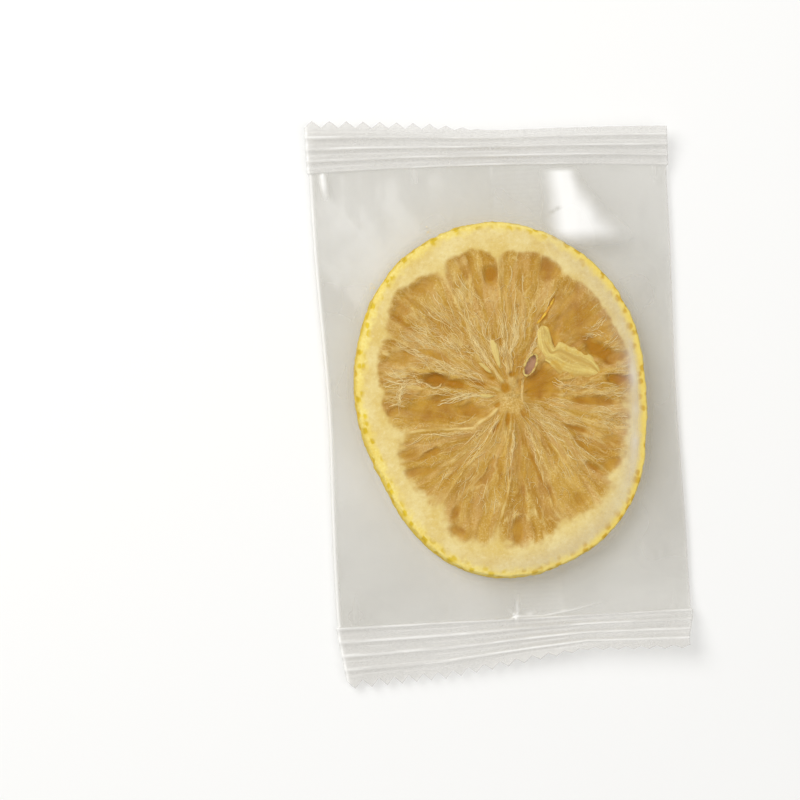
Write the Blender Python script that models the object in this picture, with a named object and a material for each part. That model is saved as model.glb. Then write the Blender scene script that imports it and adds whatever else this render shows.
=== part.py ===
"""A freeze-dried lemon slice sealed in its own clear sachet, as one closed solid.

The sachet is a flow wrap: one film folded round the slice, closed by a flat fin along the middle
of its back and by a crimped, zigzag-cut seal at each end. The upper film lies on the slice, so the
rind's ring and the walls between the segments stand out on it, and it slopes from the rind down to
the side folds and to the end seals.

Frame: +X is the sachet's right side, +Y its top seal and +Z up. The origin is on the surface that
the sachet lies on, under the middle of its outline. Units are metres.
"""

import math

import bmesh
import bpy
import numpy as np

MM = 0.001
NODE = "lemon_slice_sachet"

# The sachet, laid straight. The end seals are bent afterwards, by end_bend().
HALF_WIDTH = 32.4 * MM
BODY_TOP = 42.4 * MM  # where the top seal starts
BODY_BOTTOM = -40.2 * MM  # where the bottom seal starts
RIDGE_PITCH = 2.2 * MM
RIDGES = 4
RIDGE_HEIGHT = 0.34 * MM
SEAL_THICKNESS = 0.5 * MM
CUT_MARGIN = 0.7 * MM  # from the last valley to the cut's own valleys
TOOTH_PITCH = 3.0 * MM
TOOTH_DEPTH = 1.3 * MM

# The slice inside it: an oval, fuller in some directions and flatter in others.
SLICE_CENTRE = (-0.9 * MM, -0.3 * MM)
SLICE_HALF_WIDTH = 27.0 * MM
SLICE_HALF_LENGTH = 32.7 * MM
SLICE_BULGES = (  # direction and spread in degrees, amount
    (34, 24, 0.85 * MM),
    (130, 24, 0.85 * MM),
    (214, 30, -1.95 * MM),
    (318, 24, 1.65 * MM),
)
CORE_CENTRE = (1.5 * MM, 0.5 * MM)  # where the segments meet
RIND_WIDTH = 5.0 * MM
SEGMENT_WALLS = (9, 63, 91, 118, 152, 175, 193, 235, 262, 288, 318, 351)  # degrees

# Heights of the films above the surface.
RIM_HEIGHT = 5.6 * MM  # the upper film on the rind
PULP_SAG = 0.75 * MM  # how far it sinks over the pulp
WALL_RISE = 0.45 * MM  # how far a wall between two segments lifts it again
EDGE_LEVEL = 0.9 * MM  # where the two films meet, at the folds and seals
SEAL_REACH = 15.0 * MM  # from the body's last 5 mm to the cut
BOTTOM_CURL = (0.9 * MM, 1.3 * MM, 2.6 * MM, 4.2 * MM, 4.9 * MM)  # lift of the cut, left to right
TOP_CURL = (1.0 * MM, 1.8 * MM, 2.9 * MM, 2.9 * MM, 3.2 * MM)

# The mesh. Its columns alternate between the valleys and the points of the teeth.
COLUMNS = 2 * round(2 * HALF_WIDTH / TOOTH_PITCH)
COLUMN_PITCH = 2 * HALF_WIDTH / COLUMNS
BODY_ROWS = 44

# The fin along the back, folded flat to the right. Its edges lie on columns.
FIN_ROOT = 0.0
FIN_FREE_EDGE = 6 * COLUMN_PITCH
FIN_STEP = 0.35 * MM
FIN_DRAPE = 4 * COLUMN_PITCH  # how far beside the fin the film comes down again

FILM_COLOUR = (0.80, 0.79, 0.75)
RIND_COLOUR = (0.80, 0.62, 0.24)
PULP_COLOUR = (0.55, 0.33, 0.08)


def smooth_step(low, high, value):
    """0 below low, 1 above high, and an S curve between."""
    t = np.clip((value - low) / (high - low), 0.0, 1.0)
    return t * t * (3.0 - 2.0 * t)


def lobe(angle, centre_deg, spread_deg):
    """A bell over direction, 1 at centre_deg."""
    off = np.angle(np.exp(1j * (angle - math.radians(centre_deg))))
    return np.exp(-((off / math.radians(spread_deg)) ** 2))


def slice_radius(angle):
    """The slice's outline round its own centre: an ellipse with bulges."""
    a, b = SLICE_HALF_WIDTH, SLICE_HALF_LENGTH
    radius = a * b / np.hypot(b * np.cos(angle), a * np.sin(angle))
    for centre, spread, amount in SLICE_BULGES:
        radius = radius + amount * lobe(angle, centre, spread)
    return radius


def body_radius(angle):
    """From the slice's centre to the edge of the straight body, which is a rectangle."""
    cos, sin = np.cos(angle), np.sin(angle)
    side = np.where(cos > 0, HALF_WIDTH, -HALF_WIDTH) - SLICE_CENTRE[0]
    end = np.where(sin > 0, BODY_TOP, BODY_BOTTOM) - SLICE_CENTRE[1]
    far = 1.0  # a metre, past every edge
    to_side = np.where(np.abs(cos) > 1e-6, side / np.where(cos == 0, 1, cos), far)
    to_end = np.where(np.abs(sin) > 1e-6, end / np.where(sin == 0, 1, sin), far)
    return np.minimum(to_side, to_end)


def slice_polar(x, y):
    """(direction, distance) from the slice's centre."""
    dx, dy = x - SLICE_CENTRE[0], y - SLICE_CENTRE[1]
    return np.arctan2(dy, dx), np.hypot(dx, dy)


def wall_relief(x, y):
    """1 along the walls between the segments, 0 away from them."""
    dx, dy = x - CORE_CENTRE[0], y - CORE_CENTRE[1]
    angle, distance = np.arctan2(dy, dx), np.hypot(dx, dy)
    relief = np.zeros_like(x)
    for wall in SEGMENT_WALLS:
        across = distance * np.sin(np.abs(np.angle(np.exp(1j * (angle - math.radians(wall))))))
        ahead = np.cos(angle - math.radians(wall)) > 0
        relief = np.maximum(relief, np.where(ahead, np.exp(-((across / (1.3 * MM)) ** 2)), 0.0))
    return np.maximum(relief, np.exp(-((distance / (3.0 * MM)) ** 2)))


def edge_level(x, y):
    """The height at which the films meet. The end seals curl up, the bottom right one the most."""
    across = x / HALF_WIDTH
    bottom_curl = np.interp(across, (-1.0, -0.4, 0.1, 0.5, 1.0), BOTTOM_CURL)
    top_curl = np.interp(across, (-1.0, -0.4, 0.1, 0.5, 1.0), TOP_CURL)
    to_bottom = np.clip((BODY_BOTTOM + 5 * MM - y) / SEAL_REACH, 0.0, None) ** 1.5
    to_top = np.clip((y - BODY_TOP + 5 * MM) / SEAL_REACH, 0.0, None) ** 1.5
    return EDGE_LEVEL + bottom_curl * to_bottom + top_curl * to_top


def folds(angle, distance, share):
    """Shallow folds of the upper film, from the rind towards the corners and seals."""
    rise = np.zeros_like(angle)
    for direction, width, height in (
        (37, 2.6 * MM, 0.55 * MM),
        (62, 5.0 * MM, 1.00 * MM),
        (112, 3.0 * MM, 0.45 * MM),
        (143, 2.6 * MM, 0.50 * MM),
        (219, 2.6 * MM, 0.55 * MM),
        (247, 3.0 * MM, 0.40 * MM),
        (292, 3.2 * MM, 0.45 * MM),
        (323, 2.6 * MM, 0.60 * MM),
    ):
        across = distance * np.sin(angle - math.radians(direction))
        ahead = np.cos(angle - math.radians(direction)) > 0
        rise = rise + np.where(ahead, height * np.exp(-((across / width) ** 2)), 0.0)
    return rise * 4.0 * share * (1.0 - share)


def upper_film(x, y):
    """Height of the upper film: over the slice, then sloping to where the films meet."""
    angle, distance = slice_polar(x, y)
    rim, edge = slice_radius(angle), body_radius(angle)
    inward = smooth_step(0.55 * RIND_WIDTH, 1.25 * RIND_WIDTH, rim - distance)
    on_slice = RIM_HEIGHT - inward * (PULP_SAG - WALL_RISE * wall_relief(x, y))
    share = np.clip((distance - rim) / (edge - rim), 0.0, 1.0)
    fall = 1.0 - (1.0 - share) ** 1.35
    meeting = edge_level(x, y) + SEAL_THICKNESS / 2
    return on_slice + (meeting - on_slice) * fall + folds(angle, distance, share)


def fin_step(x):
    """The film lies on the fin folded under it, and comes down to the surface beside it."""
    beside = np.maximum(FIN_ROOT - x, x - FIN_FREE_EDGE)
    raised = np.interp(beside, (0.0, COLUMN_PITCH, FIN_DRAPE), (0.0, FIN_STEP, 0.0))
    return np.where(beside > 0, raised, 0.0)


def lower_film(x, y):
    """Height of the underside: flat under the slice, stepped by the fin, rising to the edges."""
    angle, distance = slice_polar(x, y)
    rim, edge = slice_radius(angle), body_radius(angle)
    share = np.clip((distance - 0.93 * rim) / (edge - 0.93 * rim), 0.0, 1.0)
    meeting = edge_level(x, y) - SEAL_THICKNESS / 2
    step = fin_step(x)
    return step + (meeting - step) * share**2


def seal_ridges(y):
    """The crimp of the end seals, the same in both faces of the seal."""
    beyond = np.maximum(y - BODY_TOP, BODY_BOTTOM - y)
    inside = (beyond > -0.01 * MM) & (beyond < (RIDGES - 0.4) * RIDGE_PITCH)
    wave = 0.5 + 0.5 * np.cos(2.0 * math.pi * beyond / RIDGE_PITCH)
    return np.where(inside, RIDGE_HEIGHT * wave, 0.0)


def end_bend(x, y):
    """Moves y as the ends are bent: the top seal leans, and both seals are deepest on the left."""
    across = x / HALF_WIDTH
    lean = 0.5 * MM - 1.0 * MM * across - 0.8 * MM * across**2
    lean = lean * smooth_step(BODY_TOP - 14 * MM, BODY_TOP, y)
    past_top = np.clip(y - BODY_TOP, 0.0, None)
    past_bottom = np.clip(BODY_BOTTOM - y, 0.0, None)
    top_depth = np.interp(across, (-1.0, -0.2, 0.1, 1.0), (0.99, 0.76, 0.72, 0.82))
    bottom_depth = np.interp(across, (-1.0, -0.4, 0.1, 0.4, 1.0), (1.15, 1.05, 0.80, 0.68, 0.74))
    return y + lean + past_top * (top_depth - 1.0) - past_bottom * (bottom_depth - 1.0)


def side_bend(x, y):
    """Moves x: the sides draw in a little beside the slice, and both lean in at the bottom seal."""
    draw = 0.5 * MM * smooth_step(-30 * MM, 0.0, y) * smooth_step(30 * MM, 0.0, y)
    left = 1.7 * MM * smooth_step(-BODY_BOTTOM - 3 * MM, -BODY_BOTTOM + 11 * MM, -y)
    right = 1.1 * MM * smooth_step(-BODY_BOTTOM, -BODY_BOTTOM + 8 * MM, -y)
    to_left = smooth_step(0.2, 1.0, -x / HALF_WIDTH)
    to_right = smooth_step(0.2, 1.0, x / HALF_WIDTH)
    return x * (1.0 - draw / HALF_WIDTH) + left * to_left - right * to_right


def row_stations():
    """The rows' places along the straight sachet, from the bottom cut to the top one.

    A seal has a row on each ridge and in each valley, one at the foot of its teeth and one on the
    cut. The body's rows are even."""
    ridge_rows = [0.5 * RIDGE_PITCH * k for k in range(2 * RIDGES)]
    seal_rows = ridge_rows + [ridge_rows[-1] + CUT_MARGIN]
    bottom = [BODY_BOTTOM - s for s in reversed(seal_rows)]
    body = list(np.linspace(BODY_BOTTOM, BODY_TOP, BODY_ROWS + 1))[1:-1]
    top = [BODY_TOP + s for s in seal_rows]
    return np.array(bottom + body + top)


def tooth(column):
    """0 in the valleys between the teeth and 1 on their points. Columns alternate between them."""
    return np.where(np.asarray(column) % 2 == 1, 1.0, 0.0)


def top_tooth_depth(x):
    """The top cut's teeth are deep on the left and hardly show on the right."""
    return TOOTH_DEPTH * (1.0 - 0.8 * smooth_step(-0.35 * HALF_WIDTH, 0.05 * HALF_WIDTH, x))


def straight_grid(mesh):
    """Spreads a unit grid's vertices over the straight sachet. Returns their x and y."""
    stations = row_stations()
    last = len(stations) - 1
    unit = np.array([v.co[:2] for v in mesh.verts])
    column = np.rint((unit[:, 0] + 1) / 2 * COLUMNS).astype(int)
    row = np.rint((unit[:, 1] + 1) / 2 * last).astype(int)
    x = (2 * column / COLUMNS - 1) * HALF_WIDTH
    y = stations[row]
    y = np.where(row == 0, y - TOOTH_DEPTH * tooth(column), y)
    y = np.where(row == last, y + top_tooth_depth(x) * tooth(column), y)
    return x, y


def make_sachet():
    """One grid, doubled into an upper and a lower face with a thin wall round them."""
    mesh = bmesh.new()
    rows = len(row_stations()) - 1
    bmesh.ops.create_grid(mesh, x_segments=COLUMNS, y_segments=rows, size=1.0)
    grown = bmesh.ops.extrude_face_region(mesh, geom=mesh.faces[:])
    upper = {v for v in grown["geom"] if isinstance(v, bmesh.types.BMVert)}
    x, y = straight_grid(mesh)
    ridges = seal_ridges(y)
    high, low = upper_film(x, y) + ridges, lower_film(x, y) + ridges
    bent_x, bent_y = side_bend(x, y), end_bend(x, y)
    for i, v in enumerate(mesh.verts):
        v.co = (bent_x[i], bent_y[i], high[i] if v in upper else low[i])
    bmesh.ops.recalc_face_normals(mesh, faces=mesh.faces[:])
    return mesh


def centre_on_origin(mesh):
    """Puts the outline's middle over the origin."""
    points = np.array([v.co for v in mesh.verts])
    middle = (points.min(0) + points.max(0)) / 2
    for v in mesh.verts:
        v.co.x -= middle[0]
        v.co.y -= middle[1]
    return middle[:2]


def plain_material(name, colour, roughness):
    material = bpy.data.materials.new(name)
    material.use_nodes = True
    surface = material.node_tree.nodes["Principled BSDF"]
    surface.inputs["Base Color"].default_value = (*colour, 1.0)
    surface.inputs["Roughness"].default_value = roughness
    surface.inputs["Metallic"].default_value = 0.0
    return material


def paint(sachet, middle):
    """Upper faces over the rind and the pulp get their colours, the rest the film's."""
    for name, colour, roughness in (
        ("clear_film", FILM_COLOUR, 0.30),
        ("rind", RIND_COLOUR, 0.65),
        ("pulp", PULP_COLOUR, 0.60),
    ):
        sachet.materials.append(plain_material(name, colour, roughness))
    for face in sachet.polygons:
        x, y = np.array(face.center[:2]) + middle
        angle, distance = slice_polar(x, y)
        inward = slice_radius(angle) - distance
        if face.normal.z > 0.5 and inward > 0:
            face.material_index = 1 if inward < RIND_WIDTH else 2


def main():
    for obj in list(bpy.data.objects):
        bpy.data.objects.remove(obj)
    collection = bpy.data.collections.new("freeze_dried_lemon_slice")
    bpy.context.scene.collection.children.link(collection)
    mesh = make_sachet()
    middle = centre_on_origin(mesh)
    data = bpy.data.meshes.new(NODE)
    mesh.to_mesh(data)
    mesh.free()
    paint(data, middle)
    data.shade_smooth()
    data.set_sharp_from_angle(angle=math.radians(40))
    collection.objects.link(bpy.data.objects.new(NODE, data))


main()
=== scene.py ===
"""The looks of a freeze-dried lemon slice in its clear sachet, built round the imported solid.

The slice is made first, from its rind to its seeds, then the sachet round it, and last the table,
the lights and the camera. Sizes are in millimetres until they go into a mesh.
"""

import math

import bpy
import numpy as np
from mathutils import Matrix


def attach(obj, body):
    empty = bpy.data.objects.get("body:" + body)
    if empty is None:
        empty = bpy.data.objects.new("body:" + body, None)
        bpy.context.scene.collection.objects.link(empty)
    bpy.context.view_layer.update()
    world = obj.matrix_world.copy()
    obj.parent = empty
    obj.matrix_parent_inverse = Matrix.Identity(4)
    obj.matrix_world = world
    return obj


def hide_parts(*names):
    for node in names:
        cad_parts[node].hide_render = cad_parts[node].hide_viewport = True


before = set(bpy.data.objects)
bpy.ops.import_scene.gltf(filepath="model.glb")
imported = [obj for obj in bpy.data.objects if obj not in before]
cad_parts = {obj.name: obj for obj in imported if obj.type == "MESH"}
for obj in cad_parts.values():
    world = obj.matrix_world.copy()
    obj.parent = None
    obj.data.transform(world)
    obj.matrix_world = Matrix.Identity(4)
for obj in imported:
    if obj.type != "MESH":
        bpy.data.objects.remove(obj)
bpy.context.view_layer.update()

# ---- Rind ------------------------------------------------------------------------------------
# The ring of peel and pith: spongy cream pith with a skin of bright yellow peel, dotted with oil
# glands. The slice was cut a little off square, so the peel's side shows on the left and is
# undercut on the right. The ring ends inside the pith, where the pulp piece takes over.

MM = 0.001
FULL_TURN = 2.0 * math.pi
PLAN_ORIGIN = (0.3, -0.66, 0.0)  # where the plan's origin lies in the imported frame
SLICE_CENTRE, SLICE_SEMI_AXES = (-0.9, -0.3), (27.0, 32.7)
# Where the outline departs from an ellipse: direction and spread in degrees, and how far out.
SLICE_BULGES = ((34, 24, 0.85), (130, 24, 0.85), (214, 30, -1.95), (318, 24, 1.65))
CORE = (1.5, 0.5)  # where the segments meet
CUT_TOP, CUT_BOTTOM = 5.12, 0.62  # heights of the two cut faces
# The width of peel and pith together, in directions from the core in degrees.
RIND = (
    (4, 2.5), (14, 2.7), (23, 3.3), (33, 4.0), (45, 3.9), (58, 4.2), (70, 3.8), (80, 4.5),
    (92, 5.2), (102, 4.6), (112, 4.7), (119, 5.3), (127, 4.3), (136, 3.4), (145, 4.0), (163, 4.2),
    (175, 4.4), (190, 5.4), (203, 4.9), (212, 4.7), (224, 5.4), (234, 5.9), (244, 4.9), (256, 5.5),
    (266, 5.8), (277, 5.2), (286, 5.3), (292, 5.9), (303, 5.1), (320, 4.4), (335, 3.7), (351, 2.7),
)
SEAM_SHARE, SEAM_LIMITS = 0.80, (2.0, 4.2)  # how much of that width the ring takes
AROUND = 1280  # points round the ring
ROUNDING = 0.42  # radius of the corners between the cut faces and the side
# The lean of the cut: how much of the side shows in this direction, and is undercut opposite it.
LEAN_DIRECTION, LEAN_SHOWN, LEAN_UNDER = math.radians(196), 0.8, 1.3
SIDE_DROP = 4.4  # length of the side, down along the peel
GLAND_CELL = (2.35, 1.45)  # one gland to a cell of this size, round the slice and down its side
GLAND_SCATTER, GLAND_SIZE, GLAND_SIZE_VARIES = 0.38, 0.46, 0.22
FIRST_GLANDS, LAST_GLANDS = -1.25, 4.6  # where they begin on the face and end down the side


def ease(low, high, value):
    """0 below low, 1 above high, and an S curve between."""
    t = np.clip((value - low) / (high - low), 0.0, 1.0)
    return t * t * (3.0 - 2.0 * t)


def bell(off, width):
    """1 where off is 0, falling off on both sides as exp(-(off / width)^2)."""
    return np.exp(-((off / width) ** 2))


def lattice_value(i, j, seed):
    """A fixed random number in -1..1 for each whole (i, j): its bits, multiplied and folded."""
    bits = (i * 374761393 + j * 668265263 + seed * 1274126177) & 0xFFFFFFFF
    bits = ((bits ^ (bits >> 13)) * 1103515245) & 0xFFFFFFFF
    bits = ((bits ^ (bits >> 15)) * 12345677) & 0xFFFFFFFF
    return (bits ^ (bits >> 16)) / 0x7FFFFFFF - 1.0


def cloud(x, y, size, seed, layers=2):
    """Soft noise about -1..1. Lattice values are joined by S curves; each further layer has half
    the size and half the strength."""
    total = 0.0
    for layer in range(layers):
        u, v = x / size * 2**layer, y / size * 2**layer
        i, j = np.floor(u).astype(np.int64), np.floor(v).astype(np.int64)
        s, t = ease(0.0, 1.0, u - i), ease(0.0, 1.0, v - j)
        corner = [lattice_value(i + a, j + b, seed + layer) for b in (0, 1) for a in (0, 1)]
        low, high = corner[0] * (1 - s) + corner[1] * s, corner[2] * (1 - s) + corner[3] * s
        total = total + (low * (1 - t) + high * t) / 2**layer
    return total


def off_direction(angle, other):
    """The angle from other to angle, in -pi..pi."""
    return np.angle(np.exp(1j * (angle - other)))


def polar(x, y, centre):
    """Distance and direction of points from a centre."""
    return np.hypot(x - centre[0], y - centre[1]), np.arctan2(y - centre[1], x - centre[0])


def slice_radius(angle):
    """The outline round the slice's centre: an ellipse, plus a bell in each bulge's direction."""
    a, b = SLICE_SEMI_AXES
    radius = a * b / np.hypot(b * np.cos(angle), a * np.sin(angle))
    for towards, width, amount in SLICE_BULGES:
        off = off_direction(angle, math.radians(towards))
        radius = radius + amount * bell(off, math.radians(width))
    return radius


def outline_from_core(angle):
    """Distance from the core to the outline: the outline's points, looked up by direction."""
    turn = np.linspace(0.0, FULL_TURN, 2880)
    x = SLICE_CENTRE[0] + slice_radius(turn) * np.cos(turn)
    y = SLICE_CENTRE[1] + slice_radius(turn) * np.sin(turn)
    away, towards = polar(x, y, CORE)
    towards = np.unwrap(towards)
    return np.interp((angle - towards[0]) % FULL_TURN + towards[0], towards, away)


def from_core_at(distance, angle):
    """The points at these distances from the core, in these directions."""
    return CORE[0] + distance * np.cos(angle), CORE[1] + distance * np.sin(angle)


def rind_width(angle):
    """The width of peel and pith, in a straight line between the directions listed."""
    return np.interp(np.degrees(angle), *zip(*RIND), period=360)


def seam_in(angle):
    """Distance from the outline in to the ring's inner edge, in a direction from the core."""
    return np.clip(SEAM_SHARE * rind_width(angle), *SEAM_LIMITS)


def nearest_gland(u, v, around, seed):
    """Distance to the nearest of points that are scattered one to a cell of a unit lattice, and
    that point's own random number. The lattice closes after `around` columns."""
    i, j = np.floor(u).astype(np.int64), np.floor(v).astype(np.int64)
    best, own = np.full(u.shape, 9.0), np.zeros(u.shape)
    for di in (-1, 0, 1):
        for dj in (-1, 0, 1):
            column, row = (i + di) % around, j + dj
            across = i + di + 0.5 + GLAND_SCATTER * lattice_value(column, row, seed) - u
            along = row + 0.5 + GLAND_SCATTER * lattice_value(column, row, seed + 1) - v
            gap = np.hypot(across * GLAND_CELL[0], along * GLAND_CELL[1])
            own = np.where(gap < best, lattice_value(column, row, seed + 2), own)
            best = np.minimum(best, gap)
    return best, own


direction = np.linspace(0.0, FULL_TURN, AROUND, endpoint=False)
outline = outline_from_core(direction)
x, y = from_core_at(outline, direction)
steps = np.hypot(np.roll(x, -1) - x, np.roll(y, -1) - y)
glands_around = round(steps.sum() / GLAND_CELL[0])
arc = np.concatenate(((0.0,), np.cumsum(steps)[:-1])) * glands_around / steps.sum()

# Across the upper face from the seam, over the corner, down the side and in below. shown and under
# are how far the side's upper and lower edges lie inside the outline, inward is how far each point
# does, and drop is how far it lies down from the upper edge along the surface.
seam = seam_in(direction)
lean = np.cos(direction - LEAN_DIRECTION)
shown = 0.30 + LEAN_SHOWN * np.clip(lean + 0.25, 0.0, 1.0)
under = 0.25 + LEAN_UNDER * np.clip(-lean - 0.1, 0.0, 1.0)
across_top = np.linspace(1.0, 0.0, 18)[:-1, None]
side_rise = np.sin(np.linspace(math.pi / 2, -math.pi / 2, 30))[:, None]
across_bottom = np.linspace(0.0, 1.0, 9)[1:, None]
down = 0.5 - 0.5 * side_rise * np.abs(side_rise)
corner = 1.0 - (1.0 - side_rise**4).clip(0.0) ** 0.25
side_in = shown * (1.0 - down) ** 1.4 + under * down**1.7 + ROUNDING * corner
top_in = shown + ROUNDING + across_top * (seam - shown - ROUNDING)
bottom_in = under + ROUNDING + across_bottom * (seam - under - ROUNDING)
inward = np.concatenate((top_in, side_in, bottom_in))
rise = np.concatenate((np.ones_like(across_top), side_rise, -np.ones_like(across_bottom)))
side_drop = np.broadcast_to(SIDE_DROP * (0.5 - 0.5 * side_rise), side_in.shape)
drop = np.concatenate((-(top_in - shown), side_drop, SIDE_DROP + bottom_in - under))

x, y = from_core_at(outline - inward, direction)
# The peel is browner on the right. A gland's edge is ragged, and its size is its own. The peel
# bulges a little at each gland on the side, and the cut face dips at each gland in it.
browned = ease(-4.0, 16.0, x) * ease(34.0, 22.0, y)
round_arc = np.broadcast_to(arc, inward.shape)
run = round_arc * GLAND_CELL[0]
gap, own = nearest_gland(round_arc, (drop + 0.35) / GLAND_CELL[1], glands_around, 31)
gap, size = gap + 0.16 * cloud(run, drop, 0.7, 73), GLAND_SIZE + GLAND_SIZE_VARIES * own
gland = ease(size + 0.26, size - 0.22, gap) * (own > -0.35)
first_row = FIRST_GLANDS - 0.75 * browned
gland = gland * ease(first_row - 0.3, first_row + 0.2, drop)
gland = gland * ease(LAST_GLANDS + 0.2, LAST_GLANDS - 0.3, drop)
on_peel = ease(-0.25, 0.35, drop) * ease(5.0, 4.3, drop)
rough, lumps = cloud(run, drop, 0.9, 71), cloud(run, drop, 2.4, 75)
inward = inward + on_peel * (0.10 * rough + 0.10 * lumps + 0.06 * gland - 0.03)
x, y = from_core_at(outline - inward, direction)
dimple = 0.03 * gland * ease(0.0, -0.3, drop) * ease(seam, seam - 0.4, inward)
middle, half = (CUT_TOP - dimple + CUT_BOTTOM) / 2, (CUT_TOP - dimple - CUT_BOTTOM) / 2
points = np.stack((x, y, middle + rise * half), -1).reshape(-1, 3)
peel = ease(-1.9, -0.3, drop + 0.5 * rough + 0.35 * browned) * ease(6.2, 4.9, drop)
side = ease(0.2, 1.0, drop) * ease(5.4, 4.6, drop)
values = {"peel": peel, "gland": gland, "browned": browned, "side": side}


def linear(red, green, blue):
    """A colour given in 0..255 display values, as the shader's linear values."""
    share = np.array((red, green, blue)) / 255.0
    out = np.where(share <= 0.04045, share / 12.92, ((share + 0.055) / 1.055) ** 2.4)
    return (*out.tolist(), 1.0)


class Look:
    """A shader group or a material in the making. A method adds nodes and returns an output."""

    def __init__(self, tree):
        self.tree = tree

    def node(self, kind, inputs=(), **settings):
        """A node with its settings. inputs are (socket, value or another node's output) pairs."""
        made = self.tree.nodes.new("ShaderNode" + kind)
        for key, value in settings.items():
            setattr(made, key, value)
        for socket, value in inputs:
            if isinstance(value, bpy.types.NodeSocket):
                self.tree.links.new(value, made.inputs[socket])
            else:
                made.inputs[socket].default_value = value
        return made

    def place(self):
        return self.node("TexCoord").outputs["Object"]

    def value(self, label, output="Fac"):
        """One of the mesh's named values."""
        return self.node("Attribute", attribute_name=label).outputs[output]

    def noise(self, scale, detail, along=None, roughness=0.5):
        """Noise by the place in the object, or by another output."""
        pairs = (("Vector", self.place() if along is None else along), ("Scale", scale))
        pairs = (*pairs, ("Detail", detail), ("Roughness", roughness))
        return self.node("TexNoise", pairs).outputs[0]

    def mix(self, share, low, high):
        """Colour between low and high by share. Plain colours are in 0..255 display values."""
        low, high = (linear(*c) if isinstance(c, tuple) else c for c in (low, high))
        return self.node("Mix", ((0, share), (6, low), (7, high)), data_type="RGBA").outputs[2]

    def coated(self, colour, *coats):
        """A colour with (share, colour) coats over it, one after another."""
        for share, coat in coats:
            colour = self.mix(share, colour, coat)
        return colour

    def joined(self, operation, result, *others):
        """Numbers joined by one operation, from the first to the last."""
        for other in others:
            result = self.node("Math", ((0, result), (1, other)), operation=operation).outputs[0]
        return result

    def times(self, *values):
        return self.joined("MULTIPLY", *values)

    def most(self, *values):
        return self.joined("MAXIMUM", *values)

    def spread(self, value, low, high, to_low=0.0, to_high=1.0):
        """Maps low..high to to_low..to_high, held at both ends."""
        pairs = ((0, value), (1, low), (2, high), (3, to_low), (4, to_high))
        return self.node("MapRange", pairs, clamp=True).outputs[0]

    def grains(self, mottle_scale, grain_scale):
        """The dry fruit's mottling and its fine grain."""
        scales = (("Mottle Scale", mottle_scale), ("Grain Scale", grain_scale))
        placed = self.node("Group", scales, node_tree=dry_grain)
        return placed.outputs["Mottle"], placed.outputs["Grain"]

    def pith(self):
        return self.node("Group", node_tree=dry_pith).outputs["Color"]


class Finish(Look):
    """A whole material, with its surface shader's plain numbers set."""

    def __init__(self, name, roughness, specular):
        self.material = bpy.data.materials.new(name)
        self.material.use_nodes = True
        super().__init__(self.material.node_tree)
        self.surface = self.tree.nodes["Principled BSDF"]
        self.surface.inputs["Roughness"].default_value = roughness
        self.surface.inputs["Specular IOR Level"].default_value = specular

    def feed(self, label, output):
        self.tree.links.new(output, self.surface.inputs[label])

    def bump(self, height, depth):
        """Feeds the normal from a height between 0 and 1 that stands depth metres."""
        bumped = self.node("Bump", (("Height", height), ("Distance", depth)))
        self.feed("Normal", bumped.outputs[0])


def new_group(name, inputs, outputs):
    """An empty shader group with the listed sockets. Returns it with its two end nodes."""
    group = bpy.data.node_groups.new(name, "ShaderNodeTree")
    for label, default in inputs:
        socket = group.interface.new_socket(label, in_out="INPUT", socket_type="NodeSocketFloat")
        socket.default_value = default
    for label, kind in outputs:
        group.interface.new_socket(label, in_out="OUTPUT", socket_type=kind)
    return group, group.nodes.new("NodeGroupInput"), group.nodes.new("NodeGroupOutput")


# Dry citrus is mottled from pale to golden, with a fine dry grain. The materials of the rind, the
# pulp, the fibres, the juice and the seeds all take this group, each with its own scales.
dry_grain, group_in, group_out = new_group(
    "dry_grain",
    (("Mottle Scale", 300.0), ("Grain Scale", 2500.0)),
    (("Mottle", "NodeSocketFloat"), ("Grain", "NodeSocketFloat")),
)
look = Look(dry_grain)
for label, detail in (("Mottle", 4.0), ("Grain", 2.0)):
    noise = look.noise(group_in.outputs[label + " Scale"], detail)
    dry_grain.links.new(noise, group_out.inputs[label])

# The pith has the same colour in the rind and in the pulp, so that no seam shows.
dry_pith, _, group_out = new_group("dry_pith", (), (("Color", "NodeSocketColor"),))
look = Look(dry_pith)
broad, fine, finest = look.noise(210.0, 4.0), look.noise(1500.0, 3.0), look.noise(4200.0, 1.0)
colour = look.coated(
    look.mix(look.spread(broad, 0.36, 0.64), (222, 194, 112), (233, 213, 146)),
    (look.spread(fine, 0.50, 0.72, 0.0, 0.30), (204, 170, 92)),
    (look.spread(fine, 0.44, 0.26, 0.0, 0.35), (244, 228, 174)),
    (look.spread(finest, 0.55, 0.75, 0.0, 0.22), (246, 232, 186)),
)
dry_pith.links.new(colour, group_out.inputs["Color"])

look = Finish("lemon_rind", roughness=0.7, specular=0.2)
mottle, grain = look.grains(230.0, 2200.0)
gland_colour = look.coated(
    look.mix(look.spread(mottle, 0.4, 0.6), (212, 178, 26), (230, 200, 46)),
    (look.value("browned"), (210, 168, 8)),
    (look.value("side"), (230, 188, 0)),
)
peel_colour = look.coated(
    look.mix(look.spread(mottle, 0.35, 0.7), (236, 210, 104), (244, 226, 136)),
    (look.spread(grain, 0.50, 0.72, 0.0, 0.45), (226, 192, 80)),
    (look.spread(grain, 0.44, 0.28, 0.0, 0.5), (252, 238, 160)),
    (look.times(look.value("side"), 0.8), (242, 208, 40)),
    (look.times(look.value("browned"), 0.55), (236, 206, 76)),
    (look.value("gland"), gland_colour),
)
look.feed("Base Color", look.mix(look.value("peel"), look.pith(), peel_colour))
look.feed("Roughness", look.spread(grain, 0.3, 0.7, 0.5, 0.68))
look.bump(grain, 0.00007)


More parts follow.
